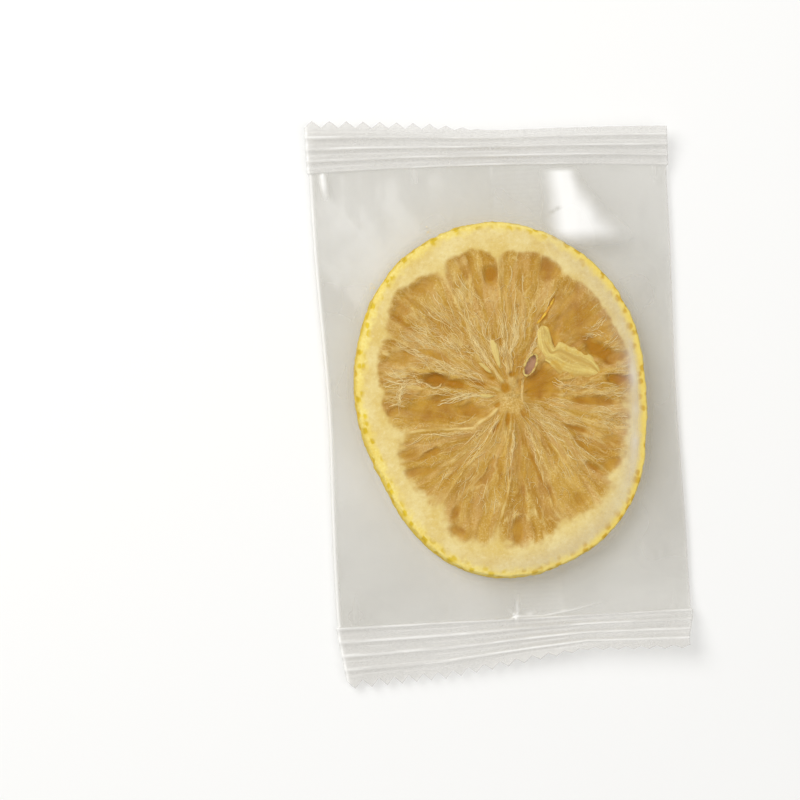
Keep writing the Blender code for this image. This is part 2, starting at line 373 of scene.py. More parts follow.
def grid_quads(rows, columns, start=0, around=False):
    """The faces of a grid of points, counter-clockwise seen with columns to the right and rows up.
    around joins the last column to the first."""
    index = start + np.arange(rows * columns).reshape(rows, columns)
    if around:
        index = np.concatenate((index, index[:, :1]), 1)
    corners = (index[:-1, :-1], index[:-1, 1:], index[1:, 1:], index[1:, :-1])
    return np.stack([c.ravel() for c in corners], -1)


def make_piece(name, points, quads, values, material, creased=0):
    """A smooth mesh of four-cornered faces, with one named value a point. points are in mm on the
    plan. The last `creased` faces keep their own normals, so that no shade runs round them."""
    mesh = bpy.data.meshes.new(name)
    mesh.vertices.add(len(points))
    mesh.vertices.foreach_set("co", ((points + PLAN_ORIGIN) * MM).astype(np.float32).ravel())
    mesh.loops.add(quads.size)
    mesh.loops.foreach_set("vertex_index", quads.astype(np.int32).ravel())
    mesh.polygons.add(len(quads))
    mesh.polygons.foreach_set("loop_start", np.arange(0, quads.size, 4, dtype=np.int32))
    mesh.polygons.foreach_set("use_smooth", np.arange(len(quads)) < len(quads) - creased)
    mesh.update(calc_edges=True)
    for label, value in values.items():
        kind, field = ("FLOAT_VECTOR", "vector") if value.ndim == 2 else ("FLOAT", "value")
        mesh.attributes.new(label, kind, "POINT")
        mesh.attributes[label].data.foreach_set(field, value.astype(np.float32).ravel())
    mesh.materials.append(material)
    piece = bpy.data.objects.new(name, mesh)
    bpy.context.scene.collection.objects.link(piece)
    return piece


quads = grid_quads(len(inward), AROUND, around=True)
last, first = (len(inward) - 1) * AROUND + np.arange(AROUND), np.arange(AROUND)
seam_wall = np.stack((last, np.roll(last, -1), np.roll(first, -1), first), -1)
quads = np.concatenate((quads, seam_wall))[:, ::-1]
values = {label: value.ravel() for label, value in values.items()}
rind = make_piece("slice_rind", points, quads, values, look.material, creased=AROUND)
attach(rind, "root")

# ---- Pulp ------------------------------------------------------------------------------------
# The dried pulp with the walls between the segments, the core and the inner edge of the pith, as
# one disc that meets the rind's ring. Freeze-drying empties some juice sacs down to an amber
# membrane and leaves others full of pale, felted fibre.

PULP_CELLS = 220  # cells along one side of the disc's grid
OVERLAP = 0.5  # how far the disc runs into the ring past the seam
UPPER_SEED, LOWER_SEED = 466, 911  # of the noise in the two cut faces
WALLS = np.radians((9, 63, 83.5, 92, 118, 152, 175, 193, 235, 262, 288, 318, 351))
# How plainly each wall shows, and how much it thickens into a wedge where it meets the pith.
WALL_SHOWN = (0.0, 0.6, 0.85, 0.8, 0.9, 0.8, 0.25, 1.15, 0.85, 1.1, 0.8, 0.65, 0.5)
WALL_WEDGES = (0.0, 0.6, 0.0, 0.7, 0.9, 0.8, 0.4, 1.3, 0.85, 0.9, 0.5, 0.8, 0.5)
WALL_HALF, WEDGE_HALF, FILLET = 0.06, 0.55, 1.25  # half widths, and radius of a segment's corners
# On the left, between these directions, the walls aim past the core.
SWUNG_FROM, SWUNG_TO, ASIDE, SWUNG_BACK = (172, 200), (238, 220), 5.6, math.radians(13)
# The juice sacs: how many, half length, half width, and how far from the core they are centred.
SACS, SAC_LONG, SAC_WIDE, SAC_REACH = 210, 4.2, 1.15, 25.0
PULP_SUNK, SKIN_HALF = 0.34, 0.13  # the pulp's usual depth, and half the width of a sac's skin
KNOT = (1.45, -0.2, 2.1, 3.5)  # the core's pale middle: x, y, half width, half height
SEED_HOLE = (5.2, 5.9, 2.0, 0.86, 62)  # x, y, half length, half width, direction
THROUGH = 1.6  # a hollow deeper than this also shows in the underside
# Emptied and hollow places in the upper face: x, y, half length, half width, direction in degrees,
# depth, and how amber the bare membrane at the bottom is.
HOLLOWS = (
    (-1.1, 22.8, 1.6, 1.35, 90, 0.8, 0.95), (9.6, 23.2, 2.8, 2.2, 60, 0.6, 0.75),
    (-13.6, 21.2, 3.0, 1.3, 30, 0.45, 0.6), (-17.6, 17.4, 2.4, 1.5, 70, 0.45, 0.55),
    (-18.4, 8.4, 2.4, 1.4, 15, 0.5, 0.6), (-12.0, 8.6, 2.6, 0.7, -22, 0.5, 0.7),
    (-12.2, 4.3, 2.9, 1.15, -4, 1.7, 1.0), (-8.3, 3.2, 2.2, 0.9, -14, 0.9, 0.95),
    (-12.8, -1.2, 6.4, 2.7, 2, 0.8, 0.7), (-6.4, -1.9, 3.4, 1.3, -14, 0.8, 0.85),
    (-19.9, -1.2, 0.8, 2.0, 100, 0.4, 0.6), (-13.6, -9.1, 1.9, 0.7, 30, 0.6, 0.8),
    (-16.4, -12.4, 3.2, 0.75, 8, 0.5, 0.7), (-17.6, -9.0, 2.0, 1.2, 15, 0.4, 0.5),
    (-9.6, -19.8, 1.4, 0.7, 60, 0.4, 0.7), (-9.6, -23.6, 2.0, 1.1, -20, 0.45, 0.7),
    (1.3, -24.4, 1.1, 2.6, 0, 0.5, 0.85), (2.4, -14.0, 7.5, 0.8, 92, 0.35, 0.5),
    (0.25, -12.2, 7.6, 0.34, 82, 0.35, 0.85), (5.1, -12.7, 7.6, 0.34, -69, 0.35, 0.9),
    (7.6, -17.6, 2.4, 0.45, 106, 0.4, 0.7), (6.9, 2.5, 3.6, 3.4, -12, 1.0, 0.85),
    (16.2, -1.2, 4.8, 1.0, -6, 0.7, 0.85), (12.6, 6.4, 6.2, 3.0, -34, 0.7, 0.6),
    (8.6, 10.8, 2.8, 1.9, 110, 0.7, 0.85), (15.2, 13.0, 5.6, 3.6, -46, 0.6, 0.6),
    (17.8, 7.8, 4.2, 1.6, -36, 1.0, 1.0), (21.0, 2.5, 2.0, 0.9, -8, 0.9, 1.0),
    (21.4, 6.4, 1.0, 1.8, 95, 0.6, 0.9), (19.2, -13.0, 2.5, 1.3, 12, 0.6, 0.8),
    (15.6, -13.2, 1.9, 0.65, -38, 0.7, 0.9), (13.8, -9.2, 2.1, 0.45, -42, 0.5, 0.9),
    (12.6, -6.0, 2.8, 0.45, -18, 0.5, 0.9), (19.6, -8.6, 2.2, 1.0, -10, 0.4, 0.6),
    (13.0, -19.0, 1.7, 1.2, 40, 0.3, 0.5), (9.6, 16.9, 1.7, 0.5, 64, 0.25, 1.0),
    (8.1, 14.5, 1.6, 0.7, 44, 0.3, 1.0), (1.64, 4.4, 0.85, 0.72, 20, 0.5, 1.0),
    (0.38, 2.1, 0.95, 0.85, 60, 0.42, 0.9), (-1.9, 4.0, 1.0, 0.6, -35, 0.45, 1.0),
    (-4.3, 3.1, 1.9, 0.62, -22, 0.6, 1.0), (0.46, -3.9, 1.6, 0.5, 84, 0.5, 1.0),
    (-1.75, -5.2, 1.5, 0.45, 54, 0.4, 1.0), (0.45, 7.5, 1.3, 0.42, 84, 0.3, 1.0),
    (-1.2, -1.1, 0.7, 0.5, 30, 0.35, 0.9), (-2.9, 5.2, 1.6, 0.4, -42, 0.3, 0.9),
    (3.7, -3.6, 1.7, 0.42, -62, 0.4, 0.8),
)
# Where the pulp is more or less felted than elsewhere: direction, spread and amount.
FELTED = (
    (140, 34, 0.55), (326, 24, 0.5), (180, 18, 0.35), (88, 14, 0.25), (266, 22, -0.6),
    (215, 14, -0.4),
)


def wall_wander(x, y, distance, seed):
    """How far the walls between the segments stray sideways, in mm."""
    sideways = 0.8 * cloud(x, y, 8.0, seed) + 0.18 * cloud(x, y, 2.6, seed + 3)
    return sideways * ease(2.0, 9.0, distance)


def slice_plan(x, y, seed):
    """Where points lie on the slice, as named arrays.

    wandered is the direction from the core, shifted sideways by noise so that the walls between
    the segments wander. to_middle is the distance to the nearest wall's middle. to_wall and
    to_pith are the distances to its face and to the pith; a wall is a wedge, thick at the pith.
    inside joins the two, (a + c) + (b + c) - hypot(a + c, b + c) - c, which rounds a segment's
    corners."""
    distance, direction = polar(x, y, CORE)
    wandered = direction + wall_wander(x, y, distance, seed) / np.maximum(distance, 3.0)
    bearing = np.degrees(direction) % 360
    swung = ease(*SWUNG_FROM, bearing) * ease(*SWUNG_TO, bearing)
    wandered = wandered - swung * (np.arcsin(ASIDE / np.maximum(distance, 9.0)) - SWUNG_BACK)
    off = np.abs(off_direction(wandered[..., None], WALLS))
    shown, wedge = np.take(WALL_SHOWN, off.argmin(-1)), np.take(WALL_WEDGES, off.argmin(-1))
    to_middle = distance * np.sin(np.minimum(off.min(-1), math.pi / 2))
    edge = outline_from_core(direction) - distance
    to_pith = edge - rind_width(direction) + 0.22 * cloud(x, y, 2.3, seed + 5)
    thick = WALL_HALF + WEDGE_HALF * wedge * ease(5.5, -0.5, to_pith) ** 2
    to_wall = to_middle - thick * (1.0 + 0.35 * cloud(x, y, 1.9, seed + 17))
    to_wall = to_wall + 4.0 * np.clip(1.0 - 3.0 * wedge, 0.0, 1.0)
    weak = np.clip(1.0 - shown, 0.0, 1.0)
    to_wall = to_wall + (0.25 + 1.8 * weak) * ease(0.0, 2.5, to_pith)
    a, b = to_wall + FILLET, to_pith + FILLET
    return {
        "distance": distance,
        "wandered": wandered,
        "to_middle": to_middle,
        "to_pith": to_pith,
        "shown": shown,
        "inside": a + b - np.hypot(a, b) - FILLET,
        "segment": np.searchsorted(WALLS, wandered % FULL_TURN) % len(WALLS),
    }


def juice_sacs(x, y, plan, seed):
    """The dried juice sacs: long cells that run out from the core.

    Each sac has a centre in a segment. A point's gap to it is the hypotenuse of its distances
    along and across the sac, shifted by noise, over the sac's half length and half width. Returns
    how far the point is from the skin between its two nearest sacs, in mm, which is the step
    between the gaps over the sum of their slopes, and the nearest one's own random number."""
    draw = np.random.default_rng(seed)
    angle = draw.uniform(0.0, FULL_TURN, SACS)
    reach = SAC_REACH * np.sqrt(draw.uniform(0.015, 1.0, SACS))
    tone = draw.uniform(0.0, 1.0, SACS)
    home = np.searchsorted(WALLS, angle) % len(WALLS)
    shift_along = 1.1 * cloud(x, y, 2.4, seed + 31)
    shift_across = 0.4 * cloud(x, y, 1.6, seed + 33)
    distance = plan["distance"]
    nearest, second, own = (np.full(distance.shape, start) for start in (99.0, 99.0, 0.0))
    slope, next_slope = np.ones(distance.shape), np.ones(distance.shape)
    for k in range(SACS):
        mean = 0.5 * (distance + reach[k])
        along = (distance - reach[k] + shift_along) / SAC_LONG
        across = off_direction(plan["wandered"], angle[k]) * mean + shift_across
        across = across / SAC_WIDE
        gap = np.hypot(along, across)
        steep = np.hypot(along / SAC_LONG, across / SAC_WIDE) / np.maximum(gap, 0.01)
        gap = gap + np.where(plan["segment"] == home[k], 0.0, 9.0)
        first = gap < nearest
        own = np.where(first, tone[k], own)
        next_slope = np.where(first, slope, np.where(gap < second, steep, next_slope))
        slope = np.where(first, steep, slope)
        second = np.where(first, nearest, np.minimum(second, gap))
        nearest = np.minimum(nearest, gap)
    return (second - nearest) / (slope + next_slope), own


def turned(x, y, centre_x, centre_y, degrees):
    """How far points lie along and across a line through a centre, turned by degrees."""
    c, s = math.cos(math.radians(degrees)), math.sin(math.radians(degrees))
    dx, dy = x - centre_x, y - centre_y
    return dx * c + dy * s, dy * c - dx * s


def cut_face(x, y, seed, hollows):
    """How deep the cut face lies under the rind's level, and what shows there.

    depth is the sum of: the pulp's sinking away from the walls and the pith; the sacs' skins
    standing up and their middles sinking, more in an empty sac; the hollows; and fine noise. pale
    is 1 on walls and skins, amber on bare membrane and, as painted shade, in the crevices beside
    the walls, clear in a hollow, pith on the pith, core on the core, and the pocket of a seed has
    its own mask, in which shade is painted. tone is a sac's own darkness, and grain is a place in
    which noise is drawn out along the sacs."""

    def uneven(size, order):
        return cloud(x, y, size, seed + order)

    plan = slice_plan(x, y, seed)
    distance, inside, shown = plan["distance"], plan["inside"], plan["shown"]
    to_middle, to_pith = plan["to_middle"], plan["to_pith"]
    skin_gap, own = juice_sacs(x, y, plan, seed)
    off_knot = np.hypot((x - KNOT[0]) / KNOT[2], (y - KNOT[1]) / KNOT[3])
    core = ease(1.28, 0.72, off_knot + 0.34 * uneven(1.7, 7))
    soft = ease(-0.1, 0.35, (CORE[1] - y) / np.maximum(distance, 1.0))
    in_pulp = ease(-0.1, 1.2 + 0.9 * soft, inside) * (1.0 - core)
    # beside: a strip along each side of a wall, where the pulp sinks a little into a crevice and is
    # coloured amber as painted shade.
    beside = bell(to_middle - 0.55, 0.22) * ease(0.0, 3.0, to_pith)
    beside = beside * ease(0.0, 0.6, uneven(2.2, 23)) * (distance > 2.0)
    torn = ease(-0.45, 0.35, uneven(2.6, 19))
    skin = bell(skin_gap, SKIN_HALF) * torn
    empty = ease(0.50, 0.95, own)
    depth = PULP_SUNK + 0.14 * uneven(3.6, 9) + 0.08 * beside
    depth = in_pulp * (depth + empty * 0.16 * ease(0.0, 0.5, skin_gap) - 0.06 * skin)
    amber = np.maximum(0.45 * empty * (1.0 - skin), 0.55 * beside * np.minimum(shown, 1.0))
    amber, clear = amber * in_pulp, np.zeros_like(depth)
    ragged = 1.0 + 0.26 * uneven(1.5, 11)
    within = ease(-0.3, 0.5, inside + 9.0 * ease(9.0, 7.0, distance))
    for centre_x, centre_y, long, wide, degrees, deep, gold in hollows:
        along, across = turned(x, y, centre_x, centre_y, degrees)
        here = within * ease(1.3, 0.5, np.hypot(along / long, across / wide) * ragged)
        depth = depth + here * (0.8 * deep - 0.35 * depth)
        amber = np.maximum(amber * (1.0 - 0.4 * here), gold * here)
        clear = np.maximum(clear, here)
    centre_x, centre_y, long, wide, degrees = SEED_HOLE
    along, across = turned(x, y, centre_x, centre_y, degrees)
    # The seed's pocket, which sinks a little and is coloured with painted shade.
    painted_pocket_shade = ease(1.1, 0.8, np.hypot(along / long, across / wide))
    width = 0.17 * np.clip(shown, 0.8, 2.0) ** 2 + 0.20 * bell(distance - 3.5, 2.6)
    wall = bell(to_middle, width) * ease(-0.8, 0.6, to_pith) * shown
    wall = wall * (0.35 + 0.65 * torn) * (1.0 - 0.8 * clear) * (1.0 - 0.9 * core)
    knot = core * (0.25 + 0.22 * uneven(1.2, 25))
    knot = np.maximum(knot, 0.5 * bell(off_knot - 0.98, 0.10) * torn)
    frayed = inside + (0.16 + 0.26 * soft) * uneven(0.9, 27)
    pith = ease(0.36 + 0.7 * soft, -0.22 - 0.1 * soft, frayed)
    pith = pith * ease(5.5, 0.5, to_pith)
    depth = depth - 0.04 * wall + core * (0.26 + 0.10 * uneven(1.1, 13))
    depth = depth + 0.02 * uneven(0.9, 15) * (0.10 + in_pulp) + 0.5 * painted_pocket_shade
    pale = np.maximum(np.maximum(0.5 * skin * in_pulp, knot) * (1.0 - clear), wall)
    grain = (30.0 * np.cos(plan["wandered"]), 30.0 * np.sin(plan["wandered"]), distance / 3.0)
    return {
        "depth": np.maximum(depth, 0.0),
        "pale": np.clip(pale, 0.0, 1.0) * (1.0 - painted_pocket_shade),
        "amber": np.clip(amber, 0.0, 1.0),
        "clear": clear,
        "pith": pith * (1.0 - 0.8 * clear),
        "tone": np.clip(own + 0.3 * uneven(4.0, 21), 0.0, 1.0),
        "painted_pocket_shade": painted_pocket_shade,
        "core": core * (1.0 - clear),
        "grain": np.stack(grain, -1),
    }


def upper_cut(x, y):
    """Heights of the upper face, the cut's depth under its level, and what shows there."""
    face = cut_face(x, y, UPPER_SEED, HOLLOWS)
    return CUT_TOP - face["depth"], face


def lower_cut(x, y):
    """The underside, flatter than the upper face, with only the deepest hollow."""
    through = [(*h[:5], 0.45 * h[5], h[6]) for h in HOLLOWS if h[5] > THROUGH]
    face = cut_face(x, y, LOWER_SEED, through)
    return CUT_BOTTOM + 0.7 * face["depth"], face


def disc_grid(cells):
    """A square grid pressed into a disc, as (direction, share of the radius): squares round the
    middle become circles, and equal steps along a square's side become equal angles."""
    side = np.linspace(-1.0, 1.0, cells + 1)
    u, v = np.meshgrid(side, side)
    wide = np.abs(u) > np.abs(v)
    longer, shorter = np.where(wide, u, v), np.where(wide, v, u)
    ratio = shorter / np.where(longer == 0, 1.0, longer)
    turn = np.where(wide, ratio * math.pi / 4, math.pi / 2 - ratio * math.pi / 4)
    return turn + np.where(longer < 0, math.pi, 0.0), np.abs(longer)


def cut_points(turn, share, cut):
    """Points of a cut face from the core out to the seam, and what shows there. At the seam it
    stands a hair over the ring's edge, and past it, it dips into the ring."""
    seam = seam_in(turn)
    reach = (outline_from_core(turn) - seam + OVERLAP) * share
    x, y = from_core_at(reach, turn)
    z, face = cut(x, y)
    edge = outline_from_core(turn) - reach
    dip = 0.10 * ease(seam, seam - OVERLAP, edge)
    dip = dip - 0.02 * ease(seam + 1.2, seam, edge)
    return np.stack((x, y, z + np.sign(CUT_BOTTOM + 1.5 - z) * dip), -1), face


def closed_pair(name, upper, lower, values, material, creased=False):
    """Two grids of points, one over the other, joined round their borders into one closed piece.
    values holds (upper, lower) pairs of arrays. creased gives the border a hard edge."""
    rows, columns = upper.shape[:2]
    count = rows * columns
    index = np.arange(count).reshape(rows, columns)
    rim = np.concatenate((index[0, :-1], index[:-1, -1], index[-1, :0:-1], index[:0:-1, 0]))
    ahead = np.roll(rim, -1)
    faces = (
        grid_quads(rows, columns),
        grid_quads(rows, columns, count)[:, ::-1],
        np.stack((rim + count, ahead + count, ahead, rim), -1),
    )
    points = np.concatenate((upper.reshape(-1, 3), lower.reshape(-1, 3)))
    joined = {}
    for label, (top, bottom) in values.items():
        shape = (-1, 3) if top.ndim == 3 else (-1,)
        joined[label] = np.concatenate((top.reshape(shape), bottom.reshape(shape)))
    hard = len(rim) if creased else 0
    return make_piece(name, points, np.concatenate(faces), joined, material, hard)


def felted(x, y):
    """How full of felted fibre the pulp is, 0..1: noise, plus a bell in each direction listed."""
    bearing, fibrous = polar(x, y, CORE)[1], cloud(x, y, 4.5, 157)
    for towards, width, more in FELTED:
        off = np.degrees(off_direction(bearing, math.radians(towards)))
        fibrous = fibrous + more * bell(off, width)
    return ease(0.0, 0.8, fibrous)


turn, share = disc_grid(PULP_CELLS)
upper, upper_face = cut_points(turn, share, upper_cut)
lower, lower_face = cut_points(turn, share, lower_cut)
upper[..., 2] = np.maximum(upper[..., 2], lower[..., 2] + 0.25)
labels = ("pale", "amber", "pith", "tone", "painted_pocket_shade", "core", "grain")
values = {label: (upper_face[label], lower_face[label]) for label in labels}
values["felted"] = (felted(upper[..., 0], upper[..., 1]), np.full(turn.shape, 0.5))

look = Finish("lemon_pulp", roughness=0.6, specular=0.10)
mottle, grain = look.grains(380.0, 3600.0)
along = look.value("grain", "Vector")
from_core = look.node("SeparateXYZ", ((0, along),)).outputs[2]
streak, fine = look.noise(0.7, 3.0, along), look.noise(1.7, 3.0, along)
sacs = look.noise(0.40, 2.0, along, roughness=0.45)
crumb, vein = look.noise(1150.0, 3.0), look.noise(620.0, 3.0)
patch = look.spread(look.noise(150.0, 2.0), 0.42, 0.58, 0.2, 1.0)
amber, streaky = look.value("amber"), look.spread(streak, 0.34, 0.66)


def contour(value, width):
    """1 where a noise crosses its middle, fading to 0 within width: thin closed loops."""
    off_middle = look.joined("ABSOLUTE", look.joined("SUBTRACT", value, 0.5), 0.0)
    return look.spread(off_middle, 0.0, width, 1.0, 0.0)


# Pale strands, from wide to fine: skins of whole sacs, threads, felt, and the lace of dry crumb.
sac_skin = look.times(contour(sacs, 0.030), look.spread(streak, 0.38, 0.60, 0.2, 1.0), patch)
thread = look.times(contour(fine, 0.035), look.spread(mottle, 0.42, 0.60), patch)
felt = look.times(look.spread(grain, 0.46, 0.72), look.spread(streak, 0.45, 0.62), patch)
lace = look.times(contour(crumb, 0.045), look.spread(streak, 0.40, 0.60))
lace = look.times(lace, look.spread(look.value("felted"), 0.0, 1.0, 0.25, 1.0))
wisps = look.most(thread, felt)
paler = look.most(look.times(wisps, 0.48), look.times(sac_skin, 0.62), look.times(lace, 0.60))
walls_shown = look.spread(look.value("pale"), 0.1, 0.9, 0.0, 0.75)
membrane = look.coated(
    look.mix(look.spread(mottle, 0.35, 0.65), (160, 104, 4), (194, 146, 42)),
    (look.spread(amber, 0.8, 0.95, 0.0, 0.88), (168, 112, 0)),
    (look.spread(from_core, 1.2, 1.7, 0.85, 0.0), (182, 126, 0)),
)
heart = look.coated(
    look.mix(look.spread(mottle, 0.38, 0.62), (204, 164, 80), (222, 188, 114)),
    (look.spread(grain, 0.52, 0.62, 0.0, 0.62), (180, 134, 40)),
    (look.spread(grain, 0.46, 0.36, 0.0, 0.55), (240, 216, 152)),
)
gold = look.mix(streaky, (186, 144, 54), (213, 174, 86))
deep = look.mix(streaky, (168, 120, 24), (193, 147, 50))
cream = (240, 215, 142)
# Sacs of three tones with painted shade at their edges, veins, and dark and pale flecks; bare
# membrane where a sac is empty, and amber as painted shade beside the walls; pale strands and
# walls; and last the core, the painted shade in the seed's pocket and the pith.
colour = look.coated(
    look.mix(look.value("tone"), gold, deep),
    (look.spread(sacs, 0.44, 0.66, 0.0, 0.55), (204, 162, 100)),
    (look.spread(sacs, 0.48, 0.30, 0.0, 0.45), (184, 138, 36)),
    # Painted shade along the sacs' edges.
    (look.times(contour(sacs, 0.11), look.spread(fine, 0.40, 0.62), 0.35), (158, 110, 30)),
    (look.times(contour(vein, 0.030), look.spread(mottle, 0.46, 0.58, 0.0, 0.55)), (182, 128, 14)),
    (look.spread(grain, 0.42, 0.28, 0.0, 0.30), (160, 112, 34)),
    (look.spread(grain, 0.56, 0.72, 0.0, 0.34), (236, 206, 152)),
    (amber, membrane),
    (look.times(paler, look.spread(amber, 0.1, 0.8, 1.0, 0.12)), cream),
    (look.times(walls_shown, look.spread(fine, 0.38, 0.58, 0.55, 1.0)), cream),
    (look.times(look.value("core"), look.spread(amber, 0.2, 0.9, 0.8, 0.0)), heart),
    # Painted shade in the seed's pocket.
    (look.value("painted_pocket_shade"), (184, 142, 110)),
    (look.value("pith"), look.pith()),
)
look.feed("Base Color", colour)
look.feed("Roughness", look.spread(amber, 0.2, 0.9, 0.6, 0.34))
relief = look.most(look.times(wisps, 0.5), sac_skin, look.times(lace, 0.9))
look.bump(look.times(relief, look.spread(look.value("pith"), 0.2, 0.9, 1.0, 0.2)), 0.00005)

pulp = closed_pair("slice_pulp", upper, lower, values, look.material, creased=True)
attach(pulp, "root")

# ---- Fibres ----------------------------------------------------------------------------------
# Torn skins of juice sacs: fine pale strands that lie on the pulp, most of them running out from
# the core, some curled, and bundles of long ones along the walls between the segments. Beside
# them lie tufts of hair where the peel was nicked, and a streak of dried juice by the seed husk.

STRAND_SIDES = 4
UNDER_FILM = 0.10  # how far under the rind's face the strands stay
# How many strands there are of each kind, and how many points each has.
STRANDS, POINTS = 4400, 9
PER_WALL, WALL_POINTS = 22, 20
CURLS, CURL_POINTS = 420, 10
PER_SKIN, PER_TUFT, SKIN_POINTS = 11, 9, 18
# Torn skins that stand out: a path, its strands' half thickness, how far they stray from it, the
# least height they hang at, and how pale they are.
TORN_SKINS = (
    (((4.3, 4.2), (3.85, 3.7), (3.5, 2.4), (3.35, 0.9), (3.5, -0.5), (4.3, -1.5), (5.5, -1.8)),
     0.055, 0.1, 4.15, 0.25),
    (((3.4, 3.6), (3.6, 2.2), (3.4, 0.6), (3.7, -1.0)), 0.055, 0.1, 4.15, 0.25),
    (((-15.1, 4.2), (-13.9, 3.4), (-12.7, 2.7), (-11.6, 2.9), (-11.2, 3.6)), 0.06, 0.1, 4.6, 0.75),
    (((-16.5, 5.1), (-18.4, 3.2), (-19.3, 0.4), (-19.7, -3.7)), 0.06, 0.3, 4.3, 0.75),
    (((-1.1, 0.9), (-4.9, 1.1), (-8.1, 0.7), (-11.3, -0.1), (-14.1, -0.2)), 0.07, 0.28, 4.3, 0.75),
    (((-19.6, -4.6), (-15.0, -5.0), (-10.5, -5.3), (-6.5, -5.2), (-3.0, -2.2)),
     0.07, 0.42, 4.4, 0.75),
    (((9.2, 3.0), (12.0, 1.6), (15.5, 1.2), (18.6, 2.4)), 0.05, 0.25, 4.4, 0.75),
    (((14.0, 12.6), (16.8, 12.0), (18.6, 13.4), (20.0, 14.6)), 0.05, 0.3, 4.4, 0.75),
    (((15.0, 10.4), (17.6, 11.0), (19.6, 10.0)), 0.05, 0.3, 4.4, 0.75),
)
JUICE_STREAK = ((10.2, 17.7), (9.5, 16.6), (8.6, 15.2), (7.7, 14.2), (6.8, 13.3))
JUICE_STRANDS, JUICE_HALF, JUICE_LEVEL = 4, 0.15, 4.55
TUFTS, TUFT_HALF, TUFT_LEVEL = ((-22.8, 21.8), (-11.9, 31.3)), 0.035, 4.75


def strands(name, paths, thickness, flatness, tone, material):
    """Thin tubes along rows of points, a (3, strands, points) array, closed at both ends.

    A tube's section is a flat diamond across the strand's heading, and its size goes as the
    fourth root of 1 - t^2, so that it tapers at the tips."""
    x, y, z = paths
    count, length = x.shape
    heading = np.arctan2(np.gradient(y, axis=1), np.gradient(x, axis=1))
    t = np.linspace(-0.98, 0.98, length)
    size = thickness[:, None] * (1.0 - t**2) ** 0.25
    corner = np.arange(STRAND_SIDES) * FULL_TURN / STRAND_SIDES
    side, high = size[..., None] * np.cos(corner), flatness * size[..., None] * np.sin(corner)
    px = x[..., None] - np.sin(heading)[..., None] * side
    py = y[..., None] + np.cos(heading)[..., None] * side
    points = np.stack((px, py, z[..., None] + high), -1).reshape(-1, 3)
    per_strand = length * STRAND_SIDES
    tube = grid_quads(length, STRAND_SIDES, around=True)[:, ::-1]
    tips = np.arange(STRAND_SIDES), per_strand - 1 - np.arange(STRAND_SIDES)
    one = np.concatenate((tube, tips))
    quads = (one[None] + np.arange(count)[:, None, None] * per_strand).reshape(-1, 4)
    return make_piece(name, points, quads, {"tone": np.repeat(tone, per_strand)}, material)


def laid_on_pulp(x, y, lift):
    """The paths that strands take over the upper cut face, held under the film, and how much of
    each would lie in a hollow."""
    z, face = upper_cut(x, y)
    paths = np.stack((x, y, np.minimum(z + lift, CUT_TOP - UNDER_FILM)))
    return paths, np.maximum(face["clear"], face["pith"]).mean(1)


def through(points, t):
    """A curve through every listed point: cubics whose slope at a point is half the step between
    its neighbours."""
    points = np.array(points)
    slope = np.gradient(points, axis=0)
    k = np.minimum((t * (len(points) - 1)).astype(int), len(points) - 2)
    s = (t * (len(points) - 1) - k)[..., None]
    ahead = s * s * (3.0 - 2.0 * s)
    bow = s * (1.0 - s) ** 2 * slope[k] - s * s * (1.0 - s) * slope[k + 1]
    return points[k] * (1.0 - ahead) + points[k + 1] * ahead + bow


look = Finish("lemon_fibre", roughness=0.6, specular=0.15)
mottle, grain = look.grains(700.0, 4000.0)
colour = look.coated(
    look.mix(look.value("tone"), (218, 180, 98), (252, 232, 172)),
    (look.spread(mottle, 0.45, 0.75, 0.0, 0.5), (204, 160, 76)),
)
look.feed("Base Color", colour)
look.bump(grain, 0.00005)
lemon_fibre = look.material

# Loose fibres, all over the pulp and thickest where it is felted.
draw = np.random.default_rng(1207)
t = np.linspace(0.0, 1.0, POINTS)
bearing = draw.uniform(0.0, FULL_TURN, (STRANDS, 1))
length = draw.uniform(0.9, 4.2, (STRANDS, 1))
reach = 2.8 + 20.0 * np.sqrt(draw.uniform(0.0, 1.0, (STRANDS, 1))) + length * (t - 0.5)
reach = np.minimum(reach, outline_from_core(bearing) - rind_width(bearing) + 0.5)
veer = draw.normal(0.0, 0.20, (STRANDS, 1)) * (t - 0.5) * length
bend = draw.normal(0.0, 0.14, (STRANDS, 1)) * length * np.sin(math.pi * t)
x, y = from_core_at(reach, bearing + (veer + bend) / np.maximum(reach, 3.0))
arch = draw.uniform(0.0, 0.06, (STRANDS, 1)) * np.sin(math.pi * t)
paths, hollow = laid_on_pulp(x, y, arch)
fibrous = felted(x[:, POINTS // 2], y[:, POINTS // 2])
kept = (hollow < 0.3) & (draw.uniform(0.0, 1.0, STRANDS) < 0.03 + 0.85 * fibrous)
size, tone = 0.022 + 0.05 * draw.uniform(0.0, 1.0, STRANDS) ** 2, draw.uniform(0.2, 1.0, STRANDS)
fibres = strands("slice_fibres", paths[:, kept], size[kept], 0.35, tone[kept], lemon_fibre)

